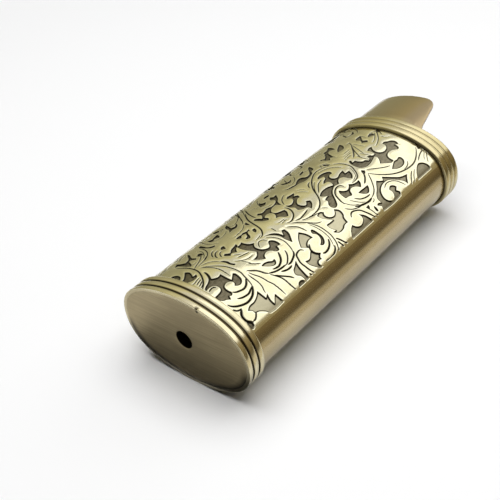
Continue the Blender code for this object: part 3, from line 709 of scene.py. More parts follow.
class Relief:
    """The carved field as a grid: its heights, how sunk and how dark each spot is, and how far its ground
    is brightened, partly as painted highlight.
    """

    def __init__(self, look):
        self.look = look
        self.along = np.linspace(FIELD_LOW, FIELD_HIGH, look.rows * look.bands + 1)
        self.arcs = np.linspace(-FIELD_HALF, FIELD_HALF, look.columns + 1)
        shape = (len(self.along), len(self.arcs))
        self.sunk = np.zeros(shape)
        self.cut = np.zeros(shape)
        self.ink_and_shade = np.zeros(shape)
        self.wear_and_sheen = np.zeros(shape)
        self.near = np.full(shape, look.reach / MM)

    def window(self, stroke, margin):
        """The part of the grid that a stroke reaches, and its spots in millimetres."""
        low, high = stroke.min(0) - margin, stroke.max(0) + margin
        rows = np.flatnonzero((self.along / MM >= low[0]) & (self.along / MM <= high[0]))
        columns = np.flatnonzero((self.arcs / MM >= low[1]) & (self.arcs / MM <= high[1]))
        if not len(rows) or not len(columns):
            return None, None
        y, s = np.meshgrid(self.along[rows] / MM, self.arcs[columns] / MM, indexing="ij")
        return np.ix_(rows, columns), np.stack([y.ravel(), s.ravel()], -1)

    def sink_pocket(self, points, highlighted=0.0):
        """Sink the ground inside an outline, with a sloping wall and a dark seam at its foot."""
        look = self.look
        outline = rounded(points, True)
        place, spots = self.window(outline, look.reach / MM)
        if place is None:
            return
        gaps, _ = distances(spots, outline, True)
        depth_in = np.where(inside_of(spots, outline), gaps, -gaps).reshape(self.sunk[place].shape)
        wall = look.wall_run / MM
        self.sunk[place] = np.maximum(self.sunk[place], smooth_step(depth_in / wall + WALL_LEAD))
        shade = smooth_step((depth_in + INK_LEAD) / INK_RISE)
        shade *= smooth_step((look.ink_width / MM - depth_in) / INK_FADE)
        shade *= off_border(spots[:, 1], INK_STOP).reshape(shade.shape)
        self.ink_and_shade[place] = np.maximum(self.ink_and_shade[place], shade)
        self.near[place] = np.minimum(self.near[place], np.abs(depth_in))
        # Painted highlight: the ground of some pockets is marked to be painted brighter
        self.wear_and_sheen[place] = np.where(depth_in > 0, highlighted, self.wear_and_sheen[place])

    def cut_line(self, width, points):
        """Cut a line that swells from its thin ends to its greatest width, dark in its depth."""
        look = self.look
        stroke = rounded(points, False)
        place, spots = self.window(stroke, look.reach / MM)
        if place is None:
            return
        gaps, shares = distances(spots, stroke, False)
        taper = np.clip(4 * shares * (1 - shares) * look.fullness, 0.0, 1.0) ** 0.5
        half = width * look.line_weight / 2 * (THIN_SHARE + (1 - THIN_SHARE) * taper)
        half = np.maximum(half, THINNEST)
        share = np.clip(1 - gaps / half, 0.0, 1.0) * off_border(spots[:, 1], LINE_STOP)
        share = share.reshape(self.cut[place].shape)
        depth = (half * look.line_slope).reshape(share.shape)
        self.cut[place] = np.maximum(self.cut[place], depth * share)
        self.ink_and_shade[place] = np.maximum(self.ink_and_shade[place], smooth_step(share * INK_FILL))
        self.near[place] = np.minimum(self.near[place], gaps.reshape(share.shape))

    def heights(self):
        """How far each spot stands above the tube's own face: 0 on a leaf, below 0 where it is cut."""
        look = self.look
        crown = 1 - np.exp(-(self.near * MM / look.crown_run) ** 2)
        leaf = look.crown * (crown - 1) * smooth_step(self.edge_share())
        leaf *= off_border(self.arcs / MM, ROLL_STOP)
        return leaf * (1 - self.sunk) - look.ground_depth * self.sunk - self.cut * MM * (1 - self.sunk)

    def lips(self):
        """How far each spot lies on the pale lip beside every pocket and line, or on the side border:
        painted highlight.
        """
        look = self.look
        round_by = self.arcs / MM
        beside = smooth_step(1 - self.near * MM / look.lip_width) * off_border(round_by, LIP_STOP)
        # Painted highlight along the side border
        strength, width = BORDER_HIGHLIGHT
        border = strength * smooth_step(BORDER_REACH - np.abs(np.abs(round_by) - SIDE_BORDER) / width)
        return np.maximum(beside, border) * (1 - self.sunk)

    def rub_upper_end(self):
        """Handling has rubbed the patina thin towards the mouth."""
        look = self.look
        rubbed = smooth_step((self.along - look.rub_from) / look.rub_run)[:, None]
        self.ink_and_shade *= 1 - look.rubbed_ink * rubbed
        self.wear_and_sheen = np.maximum(self.wear_and_sheen, look.rubbed_ground * rubbed)

    def shade_under_band(self):
        """Painted shadow where the upper band stands on the leaves, laid into the patina marks."""
        strength, width = BAND_SHADE
        below_band = smooth_step(1 - (FIELD_HIGH - self.along) / MM / width)[:, None]
        middle = smooth_step((SHADE_HALF - np.abs(self.arcs / MM - SHADE_MIDDLE)) / SHADE_FADE)
        self.ink_and_shade = np.maximum(self.ink_and_shade, strength * below_band * middle)

    def edge_share(self):
        """0 at the field's own border and 1 a little way inside it."""
        from_sides = FIELD_HALF - np.abs(self.arcs)
        from_ends = np.minimum(self.along - FIELD_LOW, FIELD_HIGH - self.along)
        return np.minimum(from_ends[:, None], from_sides[None]) / (FIELD_EDGE * MM)


def carve(look):
    relief = Relief(look)
    for index, outline in enumerate(POCKETS):
        relief.sink_pocket(outline, SHEEN_POCKETS.get(index, 0.0))
    for width, strokes in LINES.items():
        for points in strokes:
            relief.cut_line(width, points)
            if min(round_by for _, round_by in points) > BORDER_LINES_FROM:
                relief.cut_line(width, turned(points))
    for number, half_round, along, aside in UPPER_BORDER:
        outline = turned(POCKETS[number]) if half_round else POCKETS[number]
        relief.sink_pocket([(y + along, s + aside) for y, s in outline])
    relief.rub_upper_end()
    relief.shade_under_band()
    return relief


def build_panel(name, relief, heights, normals, first, last, back):
    """One closed plate of the carved skin, from row first to row last of the field."""
    look = relief.look
    rows, columns = last - first + 1, len(relief.arcs)
    middle = arc_at(math.pi) if back else 0.0
    part = slice(first, last + 1)
    top = on_tube(middle + relief.arcs[None], relief.along[part, None], -heights[part])
    ends = relief.along[[first, last]]
    under = on_tube(middle + relief.arcs[None], ends[:, None], RECESS - 2 * CLEARANCE)
    top_count = rows * columns
    faces = quads(np.arange(top_count).reshape(rows, columns))
    low_edge = np.arange(columns)
    high_edge = low_edge + (rows - 1) * columns
    under_low, under_high = top_count + low_edge, top_count + columns + low_edge
    belly = quads(np.stack([under_low, under_high]))[:, ::-1]
    front_wall = np.stack([under_low[:-1], under_low[1:], low_edge[1:], low_edge[:-1]], -1)
    back_wall = np.stack([high_edge[:-1], high_edge[1:], under_high[1:], under_high[:-1]], -1)
    side_rows = np.arange(rows) * columns
    left = [*side_rows.tolist(), int(under_high[0]), int(under_low[0])]
    right = [*(side_rows + columns - 1).tolist()[::-1], int(under_low[-1]), int(under_high[-1])]
    points = np.concatenate([top.reshape(-1, 3), under.reshape(-1, 3)])
    faces = np.concatenate([faces, belly, front_wall, back_wall]).tolist() + [left, right]
    mesh = make_mesh(name, points, faces)
    mesh.shade_smooth()
    corner_normals = np.zeros((len(mesh.loops), 3))
    top_corners = (rows - 1) * (columns - 1) * 4
    spots = np.empty(len(mesh.loops), np.int32)
    mesh.loops.foreach_get("vertex_index", spots)
    corner_normals[:top_corners] = normals[part].reshape(-1, 3)[spots[:top_corners]]
    mesh.normals_split_custom_set(corner_normals.tolist())
    marks = {"ground": relief.sunk, "ink_and_shade": relief.ink_and_shade, "wear_and_sheen": relief.wear_and_sheen, "lip": relief.lips()}
    for label, values in marks.items():
        mark(mesh, label, np.concatenate([values[part].ravel(), np.zeros(2 * columns)]))
    wrap = mesh.uv_layers.new(name="round_and_along")
    grid = np.stack(np.meshgrid(relief.arcs, relief.along[part]), -1).reshape(-1, 2)
    foot = np.stack(np.meshgrid(relief.arcs, ends), -1).reshape(-1, 2)
    flat = np.concatenate([grid, foot])[spots] / MAP_UNIT
    wrap.data.foreach_set("uv", flat.astype(np.float32).ravel())
    return mesh


def build_carving(look):
    relief = carve(look)
    heights = relief.heights()
    material = engraved_brass(look)
    for side, back in (("front", False), ("back", True)):
        middle = arc_at(math.pi) if back else 0.0
        surface = on_tube(middle + relief.arcs[None], relief.along[:, None], -heights)
        round_slope = np.gradient(surface, axis=1)
        along_slope = np.gradient(surface, axis=0)
        normals = unit(np.cross(round_slope, along_slope))
        for band in range(look.bands):
            name = f"carving_{side}_{band + 1}"
            first = band * look.rows
            mesh = build_panel(name, relief, heights, normals, first, first + look.rows, back)
            show(name, mesh, material, "sleeve")


# Nodes

def feed(tree, socket, value):
    """Link an input to another node's output, or set it; a colour gets its alpha here."""
    if isinstance(value, bpy.types.NodeSocket):
        tree.links.new(value, socket)
    elif socket.type == "RGBA":
        socket.default_value = (*value, 1.0)
    else:
        socket.default_value = value


def node(tree, kind, given=(), **settings):
    """Add a node with its settings, and feed each input that it is given by name or number."""
    made = tree.nodes.new(kind)
    for name, value in settings.items():
        setattr(made, name, value)
    for socket, value in dict(given).items():
        feed(tree, made.inputs[socket], value)
    return made


def math_node(tree, operation, *values):
    return node(tree, "ShaderNodeMath", enumerate(values), operation=operation).outputs[0]


def vector_node(tree, operation, given):
    return node(tree, "ShaderNodeVectorMath", given, operation=operation).outputs["Vector"]


def join_xyz(tree, **given):
    return node(tree, "ShaderNodeCombineXYZ", given).outputs[0]


# Plate

PLATE_POINTS = 240
# Steps across the plate's rounded edges, and where its face is divided between the hole and the rim
ROUND_STEPS = 6
FACE_SHARES = (0.12, 0.35, 0.65, 0.88)
# How dark the rings from the hole outwards are, painted shade in the hole, and how dark the rim is all
# round
HOLE_SHADE = (1.0, 1.0, 0.8, 0.4, 0.1)
RIM_DARKNESS = 0.7


def ring_points(shape, height):
    """A ring of the plate: a circle where shape is a radius, or the oval drawn inwards by -shape."""
    turns = np.linspace(0.0, 2 * math.pi, PLATE_POINTS, endpoint=False)
    if shape > 0:
        section = shape * np.stack([np.sin(turns), np.cos(turns)], -1)
    else:
        section = oval(turns, np.full(turns.shape, -shape))[0]
    along = np.full(turns.shape, LOWER_END + height)
    return np.stack([section[:, 0], along, AXIS_HEIGHT + section[:, 1]], -1)


def build_plate(look):
    """The plate that closes the lower end, with its rounded rim and the push-out hole."""
    radius = look.hole_diameter / 2
    steps = np.linspace(0.0, QUARTER, ROUND_STEPS)
    rings = []
    for step in steps[::-1]:
        height = look.hole_round * (1 - math.cos(step))
        rings.append(ring_points(radius + look.hole_round * (1 - math.sin(step)), height))
    reach = ring_points(-look.edge_inset - look.rim_round, 0.0)
    mouth = rings[-1]
    rings += [mouth + share * (reach - mouth) for share in FACE_SHARES]
    rim = len(rings)
    for step in steps:
        inset = look.edge_inset + look.rim_round * (1 - math.sin(step))
        rings.append(ring_points(-inset, look.rim_round * (1 - math.cos(step))))
    top = look.thickness + look.seat_rise
    for shape, height in ((-look.edge_inset, look.thickness), (-look.seat_inset, look.thickness),
                          (-look.seat_inset, top), (radius, top)):
        rings.append(ring_points(shape, height))
    points = np.stack(rings)
    mesh = make_mesh("plate", points, ring_faces(len(rings), PLATE_POINTS))
    turn_outwards(mesh)
    smooth_with_edges(mesh, SHARP_EDGE)
    # Painted shade: dark in the hole and round it, and on the rim in full below the axis; the rim is
    # darkened all round as well
    dark = np.zeros(points.shape[:2])
    dark[:len(HOLE_SHADE)] = np.array(HOLE_SHADE)[:, None]
    dark[-3:] = 1.0
    dark[rim + 1:-4] = RIM_DARKNESS
    lower_part = smooth_step((AXIS_HEIGHT - points[rim:-3, :, 2]) / look.rim_clouding)
    dark[rim:-3] = np.maximum(dark[rim:-3], lower_part)
    mark(mesh, "patina", dark)
    show("end_plate", mesh, brushed_plate(look), "bottom_plate")


# Collars

# How far a rounded corner's middle point lies from its two sides, as a share of its radius
ROUND_CORNER = 0.3
# The nick's length for its width, and how steeply its depth and its patina begin
NICK_LENGTH, NICK_STEEPNESS, NICK_INK = 1.6, 1.5, 2.2


def bead_section(look, low, groove_depth):
    """The bead strip's section as a closed loop: how far inside the crowns, and height above its low edge.

    The beads are flat in the middle and roll over into the grooves; the strip's own edges are rolled too.
    """
    half_bead = look.bead_pitch / 2 - look.groove_width / 2
    power = look.bead_power
    loop = []
    for bead in range(look.bead_count):
        middle = (bead + 0.5) * look.bead_pitch
        for share in np.sin(np.linspace(-QUARTER, QUARTER, look.bead_points)):
            drop = groove_depth * (1 - (1 - abs(share) ** power) ** (1 / power))
            loop.append((-drop, middle + share * half_bead))
    bend = look.ground_round
    start = low + bend if low > 0 else CLEARANCE
    loop = [spot for spot in loop if spot[1] > start]
    if low > 0:
        corner = bend * ROUND_CORNER
        loop = [(-bend, low), (-corner, low + corner), (0.0, start)] + loop
    return [(-look.bore_inset, low), *loop, (-look.bore_inset, look.bead_count * look.bead_pitch)]


def sweep_tree():
    """A node tree that sweeps a section round the case's oval and lays the band down at its place."""
    tree = bpy.data.node_groups.new("Bead band", "GeometryNodeTree")
    sockets = {"Section": "Geometry", "Half width": "Float", "Half thickness": "Float", "Fullness": "Float",
               "Place": "Float", "Axis height": "Float", "Oval points": "Int", "Brass": "Material"}
    for name, kind in sockets.items():
        tree.interface.new_socket(name, in_out="INPUT", socket_type="NodeSocket" + kind)
    tree.interface.new_socket("Band", in_out="OUTPUT", socket_type="NodeSocketGeometry")
    given = node(tree, "NodeGroupInput").outputs
    width, thickness = given["Half width"], given["Half thickness"]
    circle = node(tree, "GeometryNodeCurvePrimitiveCircle", {"Resolution": given["Oval points"]})
    index = node(tree, "GeometryNodeInputIndex").outputs[0]
    turn = math_node(tree, "MULTIPLY", math_node(tree, "DIVIDE", index, given["Oval points"]), 2 * math.pi)
    across, up = math_node(tree, "COSINE", turn), math_node(tree, "SINE", turn)
    double = math_node(tree, "SINE", math_node(tree, "MULTIPLY", turn, 2.0))
    swell = math_node(tree, "ABSOLUTE", math_node(tree, "MULTIPLY", double, across))
    swell = math_node(tree, "MULTIPLY", math_node(tree, "POWER", swell, 2.0), given["Fullness"])
    outward = join_xyz(tree, X=math_node(tree, "MULTIPLY", across, thickness),
                       Y=math_node(tree, "MULTIPLY", up, width))
    swollen = vector_node(tree, "SCALE", {0: vector_node(tree, "NORMALIZE", {0: outward}), "Scale": swell})
    ellipse = join_xyz(tree, X=math_node(tree, "MULTIPLY", across, width),
                       Y=math_node(tree, "MULTIPLY", up, thickness))
    spot = vector_node(tree, "ADD", {0: ellipse, 1: swollen})
    path = node(tree, "GeometryNodeSetPosition", {"Geometry": circle.outputs["Curve"], "Position": spot})
    upright = node(tree, "GeometryNodeSetCurveNormal", {"Curve": path.outputs["Geometry"]}, mode="Z_UP")
    section = node(tree, "GeometryNodeMeshToCurve", {"Mesh": given["Section"]})
    sweep = node(tree, "GeometryNodeCurveToMesh", {
        "Curve": upright.outputs["Curve"], "Profile Curve": section.outputs["Curve"]})
    laid = node(tree, "GeometryNodeTransform", {
        "Geometry": sweep.outputs["Mesh"], "Rotation": (-QUARTER, 0.0, 0.0),
        "Translation": join_xyz(tree, Y=given["Place"], Z=given["Axis height"])})
    real = node(tree, "GeometryNodeRealizeInstances", {"Geometry": laid.outputs["Geometry"]})
    painted = node(tree, "GeometryNodeSetMaterial", {
        "Geometry": real.outputs["Geometry"], "Material": given["Brass"]})
    node(tree, "NodeGroupOutput", {"Band": painted.outputs["Geometry"]})
    return tree


def swept_band(look, tree, name, low, place, groove_depth, patina, brass):
    """The mesh of one bead band: its section laid out, swept by the node tree and made plain."""
    loop = bead_section(look, low, groove_depth)
    mesh = bpy.data.meshes.new(name + "_section")
    edges = [(step, (step + 1) % len(loop)) for step in range(len(loop))]
    mesh.from_pydata([(drop, -height, 0.0) for drop, height in loop], edges, [])
    holder = bpy.data.objects.new(name + "_section", mesh)
    bpy.context.scene.collection.objects.link(holder)
    sweep = holder.modifiers.new("sweep", "NODES")
    sweep.node_group = tree
    values = {
        "Half width": HALF_WIDTH, "Half thickness": HALF_THICKNESS, "Fullness": SHOULDER_FULLNESS,
        "Place": place, "Axis height": AXIS_HEIGHT, "Oval points": look.oval_points, "Brass": brass,
    }
    for item in tree.interface.items_tree:
        if item.item_type == "SOCKET" and item.in_out == "INPUT" and item.name in values:
            sweep[item.identifier] = values[item.name]
    evaluated = holder.evaluated_get(bpy.context.evaluated_depsgraph_get())
    band = bpy.data.meshes.new_from_object(evaluated)
    bpy.data.objects.remove(holder, do_unlink=True)
    if not len(band.polygons):
        raise RuntimeError(f"{name}: nothing was swept")
    turn_outwards(band)
    darken_band(band, look, low, place, patina)
    return band


def darken_band(mesh, look, low, place, patina):
    """Mark how dark a band is: in its grooves, where it meets the tube, and, as painted shade, low on its
    ground edge.
    """
    points = points_of(mesh)
    height = points[:, 1] - place
    groove = np.round(height / look.bead_pitch)
    from_groove = np.abs(height - groove * look.bead_pitch)
    in_groove = patina * (1 - smooth_step((from_groove - look.groove_width / 2) / look.patina_fade))
    at_edge = 1 - smooth_step((from_groove - look.edge_line) / look.edge_line)
    dark = np.where((groove > 0) & (groove < look.bead_count), in_groove, at_edge)
    dark[height < low + look.groove_width] *= low == 0
    # Painted shade: the lower band's ground edge is darkened below the axis, as strongly as the plate's rim
    if low > 0:
        below = smooth_step((AXIS_HEIGHT - points[:, 2]) / look.foot_clouding)
        foot = smooth_step((low + look.foot_shade - height) / look.foot_fade)
        dark = np.maximum(dark, RIM_DARKNESS * below * foot)
    mark(mesh, "patina", dark)


def nick(mesh, look):
    """The small dent across the lower edge of the first bead, with patina in it."""
    points = points_of(mesh)
    along = (points[:, 1] - LOWER_END) / NICK_LENGTH
    hit = np.clip(1 - np.hypot(points[:, 0] - look.nick_x, along) / look.nick_width, 0.0, 1.0)
    hit *= points[:, 2] > AXIS_HEIGHT
    points[:, 2] -= look.nick_depth * smooth_step(hit * NICK_STEEPNESS)
    mesh.vertices.foreach_set("co", points.ravel())
    dark = np.empty(len(points))
    mesh.attributes["patina"].data.foreach_get("value", dark)
    mark(mesh, "patina", np.maximum(dark, smooth_step(hit * NICK_INK)))


def build_collars(look):
    """The two bands of beads, the lower one ground flush with the plate and nicked once."""
    tree = sweep_tree()
    brass = beaded_brass("lower band brass", look.lower_brass, look.lower_dull, look.patina)
    place = LOWER_END - look.ground_off
    lower = swept_band(look, tree, "lower_band", look.ground_off, place, look.groove_depth, 1.0, brass)
    nick(lower, look)
    # Painted shade: the upper band is the same brass as the lower band, given darker colours
    darker = beaded_brass("upper band shaded brass", look.upper_shaded_brass, look.upper_shaded_dull, look.patina)
    upper = swept_band(look, tree, "upper_band", 0.0, UPPER_BAND_LOW.y, look.upper_groove_depth,
                       look.upper_patina, darker)
    for mesh, cad_node, finish in ((lower, "bottom_collar", brass), (upper, "top_collar", darker)):
        smooth_with_edges(mesh, SHARP_BEAD)
        show(cad_node.replace("collar", "band"), mesh, finish, cad_node)
        low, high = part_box(cad_node)
        points = points_of(mesh)
        gaps = np.abs([points.min(0) - np.array(low), points.max(0) - np.array(high)])
        if gaps.max() > look.fit_slack:
            raise RuntimeError(f"{cad_node}: the swept band is not where the case's band is")


# Finishes

def new_finish(name):
    """A metal, with its node tree."""
    material = bpy.data.materials.new(name)
    material.use_nodes = True
    tree = material.node_tree
    feed(tree, shader_of(tree).inputs["Metallic"], 1.0)
    return material, tree


def shader_of(tree):
    return tree.nodes["Principled BSDF"]


def own_coordinates(tree):
    return node(tree, "ShaderNodeTexCoord").outputs["Object"]


def marked(tree, name):
    """What a piece's points are marked with under this name."""
    return node(tree, "ShaderNodeAttribute", attribute_name=name).outputs["Fac"]


def spread_noise(tree, spread, detail=4.0, roughness=0.55):
    """Noise over the case's own coordinates: how many waves it has to a millimetre along each axis."""
    place = node(tree, "ShaderNodeMapping", {
        "Vector": own_coordinates(tree), "Scale": [waves / MM for waves in spread]})
    return node(tree, "ShaderNodeTexNoise", {
        "Vector": place.outputs[0], "Scale": 1.0, "Detail": detail, "Roughness": roughness}).outputs["Fac"]


# A mix node has its colours at inputs 6 and 7 and its plain values at 2 and 3

def colour_between(tree, share, first, second):
    return node(tree, "ShaderNodeMix", {0: share, 6: first, 7: second}, data_type="RGBA").outputs[2]


def value_between(tree, share, first, second):
    return node(tree, "ShaderNodeMix", {0: share, 2: first, 3: second}, data_type="FLOAT").outputs[0]


def mix_into(tree, socket_name, share, value):
    """Mix a second colour or level into what a finish's shader is given already."""
    socket = shader_of(tree).inputs[socket_name]
    between = colour_between if socket_name == "Base Color" else value_between
    feed(tree, socket, between(tree, share, socket.links[0].from_socket, value))


def ramp(tree, value, low, high, low_level=0.0, high_level=1.0):
    """One level where the value is below low, another above high, and a soft step between them."""
    return node(tree, "ShaderNodeMapRange", {
        "Value": value, "From Min": low, "From Max": high, "To Min": low_level, "To Max": high_level,
    }, interpolation_type="SMOOTHSTEP").outputs["Result"]


def raised(tree, height, distance, strength):
    bump = node(tree, "ShaderNodeBump", {"Height": height, "Distance": distance, "Strength": strength})
    return bump.outputs["Normal"]


# Noise on the finishes: its waves, and its detail and roughness where they aren't the usual ones. Tones are
# the values of the noise between which one colour gives way to the other.
CARVING_CLOUDS, CARVING_TONES = ((0.25, 0.25, 0.25),), (0.35, 0.65)
BRUSHED_CLOUDS, BRUSHED_TONES = ((0.12, 0.12, 0.12),), (0.3, 0.7)
GROUND_SPECKS, SPECK_TONES = ((2.4, 1.2, 2.4), 5.0, 0.7), (0.36, 0.66)
PLATE_STREAKS, STREAK_TONES = ((0.08, 4.2, 4.2), 5.0, 0.6), (0.34, 0.76)
POLISH_MARKS, POLISH_DEPTH, POLISH_STRENGTH = ((3.0, 0.5, 3.0), 3.0), 0.02 * MM, 0.25
# How rough the leaves, the ground, the patina, the inside of the tube and each brushed piece are
LEAF_ROUGH, GROUND_ROUGH, PATINA_ROUGH, INNER_ROUGH = 0.17, 0.36, 0.6, 0.42
TUBE_ROUGH, PLATE_ROUGH, BAND_ROUGH = 0.21, 0.38, 0.20
# The lines of the brushing run along the tube, across the plate and round the bands
TUBE_LINES, PLATE_LINES, BAND_LINES = (9.0, 0.10, 9.0), (0.12, 9.0, 9.0), (0.15, 7.0, 0.15)
TUBE_GRAIN, PLATE_GRAIN, BAND_GRAIN = 0.002 * MM, 0.006 * MM, 0.002 * MM
LINE_DETAIL, LINE_BREAK, LINE_TONES = 6.0, 0.7, (0.3, 0.7)
# How much glossier and rougher than the brushed piece as a whole its lines are
GLOSSIER, ROUGHER = 0.04, 0.05


def engraved_brass(look):
    """Polished leaves over satin ground, with dark patina left in lines and at the foot of walls, painted
    shadow under the upper band, and painted highlights on the lips and on the ground of some pockets.
    """
    material, tree = new_finish("engraved brass")
    ground, ink_and_shade = marked(tree, "ground"), marked(tree, "ink_and_shade")
    cloud = ramp(tree, spread_noise(tree, *CARVING_CLOUDS), *CARVING_TONES)
    leaf = colour_between(tree, cloud, look.brass, look.dull)
    # Painted highlight: pale brass on the lips beside pockets and lines
    leaf = colour_between(tree, marked(tree, "lip"), leaf, look.lip_highlight_brass)
    specks = ramp(tree, spread_noise(tree, *GROUND_SPECKS), *SPECK_TONES)
    floor = colour_between(tree, specks, look.ground_brass, look.lit_ground_brass)
    # The ground is brightened towards the leaves' brass: a painted highlight in some pockets, and towards
    # the mouth
    floor = colour_between(tree, marked(tree, "wear_and_sheen"), floor, look.brass)
    coat = colour_between(tree, ground, leaf, floor)
    satin = value_between(tree, ground, LEAF_ROUGH, GROUND_ROUGH)
    marks = spread_noise(tree, *POLISH_MARKS)
    inputs = shader_of(tree).inputs
    # The dark marks give the patina colour to the patina in lines and at the foot of walls, and to the
    # painted shadow under the upper band
    feed(tree, inputs["Base Color"], colour_between(tree, ink_and_shade, coat, look.patina))
    feed(tree, inputs["Roughness"], value_between(tree, ink_and_shade, satin, PATINA_ROUGH))
    feed(tree, inputs["Normal"], raised(tree, marks, POLISH_DEPTH, POLISH_STRENGTH))
    return material


def brushed_finish(name, colour, dull, spread, roughness, grain):
    """Brass brushed along one axis: fine lines in its height and gloss, and faint clouds of tarnish."""
    material, tree = new_finish(name)
    lines = spread_noise(tree, spread, LINE_DETAIL, LINE_BREAK)
    cloud = ramp(tree, spread_noise(tree, *BRUSHED_CLOUDS), *BRUSHED_TONES)
    gloss = value_between(tree, ramp(tree, lines, *LINE_TONES), roughness - GLOSSIER, roughness + ROUGHER)
    inputs = shader_of(tree).inputs
    feed(tree, inputs["Base Color"], colour_between(tree, cloud, colour, dull))
    feed(tree, inputs["Roughness"], gloss)
    feed(tree, inputs["Normal"], raised(tree, lines, grain, 1.0))
    return material


def brushed_tube(look):
    """Brass brushed along the tube, with painted shade on the guard, in browner brass, and inside, in
    duller, darker brass.
    """
    material = brushed_finish("brushed tube", look.brass, look.dull, TUBE_LINES, TUBE_ROUGH, TUBE_GRAIN)
    tree = material.node_tree
    inside = marked(tree, "inside")
    # Painted shade on the guard and inside the tube
    mix_into(tree, "Base Color", marked(tree, "guard"), look.guard_shaded_brass)
    mix_into(tree, "Base Color", inside, look.inner_shaded_brass)
    mix_into(tree, "Roughness", inside, INNER_ROUGH)
    return material


def brushed_plate(look):
    """Brass brushed along the long axis of the oval in bold streaks, with painted shade in the hole and low
    on the rim.
    """
    material = brushed_finish("brushed plate", look.brass, look.dull, PLATE_LINES, PLATE_ROUGH, PLATE_GRAIN)
    tree = material.node_tree
    streaks = ramp(tree, spread_noise(tree, *PLATE_STREAKS), *STREAK_TONES)
    mix_into(tree, "Base Color", streaks, look.streak)
    # Painted shade in the hole and low on the rim
    mix_into(tree, "Base Color", marked(tree, "patina"), look.patina)
    return material


def beaded_brass(name, colour, dull, grooves):
    """Brass of the bead bands, brushed round the oval, with patina left in the grooves and painted shade
    low on the lower band's ground edge.
    """
    material = brushed_finish(name, colour, dull, BAND_LINES, BAND_ROUGH, BAND_GRAIN)
    mix_into(material.node_tree, "Base Color", marked(material.node_tree, "patina"), grooves)
    return material


# Studio

CAMERA_AT = (88.8783 * MM, -110.4112 * MM, 106.4373 * MM)
CAMERA_RIGHT = (0.76725215, 0.62935813, -0.12341996)
CAMERA_UP = (-0.29463715, 0.51682062, 0.80379437)
CAMERA_LENS = 65.39
CAMERA_SENSOR = 36.0
NEAREST_SEEN, FARTHEST_SEEN = 0.001, 20.0
TABLE_HALF = 3.0
TABLE_ROUGH = 0.9
WHITE, BLACK = (1.0, 1.0, 1.0), (0.0, 0.0, 0.0)
# The corners of the lamps' cloths and of the cards that the brass mirrors
SOFTBOX = [(-0.199, 0.137, 0.469), (-0.068, 0.429, 0.177), (0.232, 0.403, 0.177), (0.624, 0.065, 0.469)]
OVERHEAD = [(-0.33, -0.20, 0.5), (-0.33, 0.28, 0.5), (0.34, 0.28, 0.5), (0.34, -0.20, 0.5)]
RIGHT_X, LEFT_X, ROOM = 0.055, -0.06, 0.3
RIGHT_CARD = [(RIGHT_X, y, z) for y, z in (
    (-0.1, 0), (0.2, 0), (0.2, 0.052), (0.034, 0.052), (0.026, 0.043), (-0.1, 0.043))]
LEFT_CARD = [(LEFT_X, y, z) for y, z in ((-0.15, 0), (0.5, 0), (0.5, 0.09), (-0.15, 0.09))]
ROOM_RIGHT = [(ROOM, y, z) for y, z in ((-ROOM, 0), (0.1, 0), (0.1, 0.25), (-ROOM, 0.25))]
ROOM_FRONT = [(x, -ROOM, z) for x, z in ((-ROOM, 0), (ROOM, 0), (ROOM, 0.25), (-ROOM, 0.25))]
# Cards that lie on the table: how far they are above it, and their sides
CARD_LIFT = 0.0002
RIGHT_FOOT = (0.024, RIGHT_X, -0.1, 0.2)
# The front cards are painted shadow: dark sheets on the table that the plate mirrors in place of the case's
# own shadow
FRONT_SHADOW_CARD = (-0.0165, 0.02, LOWER_END - 0.022, LOWER_END - 0.0005)
FRONT_LEFT_SHADOW_CARD = (-0.035, FRONT_SHADOW_CARD[0], *FRONT_SHADOW_CARD[2:])
# Where the cards' fades begin and end along their axes
RIGHT_FADE, RIGHT_FOOT_FADE = (0.0, 0.036), (0.050, 0.034)
LEFT_FADE, FRONT_FADE, FRONT_LEFT_FADE = (0.020, 0.090), (-0.039, -0.055), (-0.016, -0.021)


def glowing(name, colour, strength):
    material = bpy.data.materials.new(name)
    material.use_nodes = True
    tree = material.node_tree
    tree.nodes.remove(shader_of(tree))
    glow = node(tree, "ShaderNodeEmission", {"Color": colour, "Strength": strength})
    feed(tree, tree.nodes["Material Output"].inputs["Surface"], glow.outputs[0])
    return material


def glow_level(material, level):
    """Give a glowing piece's strength to its nodes."""
    feed(material.node_tree, material.node_tree.nodes["Emission"].inputs["Strength"], level)


def fading(name, colour, axis, places, levels):
    """A card whose brightness goes from one level to another between two places along an axis."""
    material = glowing(name, colour, 1.0)
    tree = material.node_tree
    split = node(tree, "ShaderNodeSeparateXYZ", {0: own_coordinates(tree)})
    glow_level(material, ramp(tree, split.outputs[axis], *places, *levels))
    return material


def set_piece(name, corners, material):
    mesh = bpy.data.meshes.new(name)
    mesh.from_pydata([Vector(corner) for corner in corners], [], [tuple(range(len(corners)))])
    mesh.materials.append(material)
    thing = bpy.data.objects.new(name, mesh)
    bpy.context.scene.collection.objects.link(thing)
    return thing


def lamp(name, corners, material):
    """A piece that only gives light."""
    thing = set_piece(name, corners, material)
    thing.visible_camera = thing.visible_shadow = False
    return thing


def card(name, corners, material):
    """A piece that only the brass mirrors."""
    thing = lamp(name, corners, material)
    thing.visible_diffuse = thing.visible_transmission = False


def lying(sides):
    """The corners of a card that lies on the table, from its low and high x and y."""
    low_x, high_x, low_y, high_y = sides
    return [(x, y, CARD_LIFT) for x, y in
            ((low_x, low_y), (high_x, low_y), (high_x, high_y), (low_x, high_y))]


def rays_of(tree):
    return node(tree, "ShaderNodeLightPath").outputs


def seen_white(tree, mirrored):
    """1 for the camera's rays, for those that glass passes and for those that count as mirrored."""
    rays = rays_of(tree)
    seen = math_node(tree, "MAXIMUM", rays["Is Camera Ray"], mirrored)
    return math_node(tree, "MAXIMUM", seen, rays["Is Transmission Ray"])


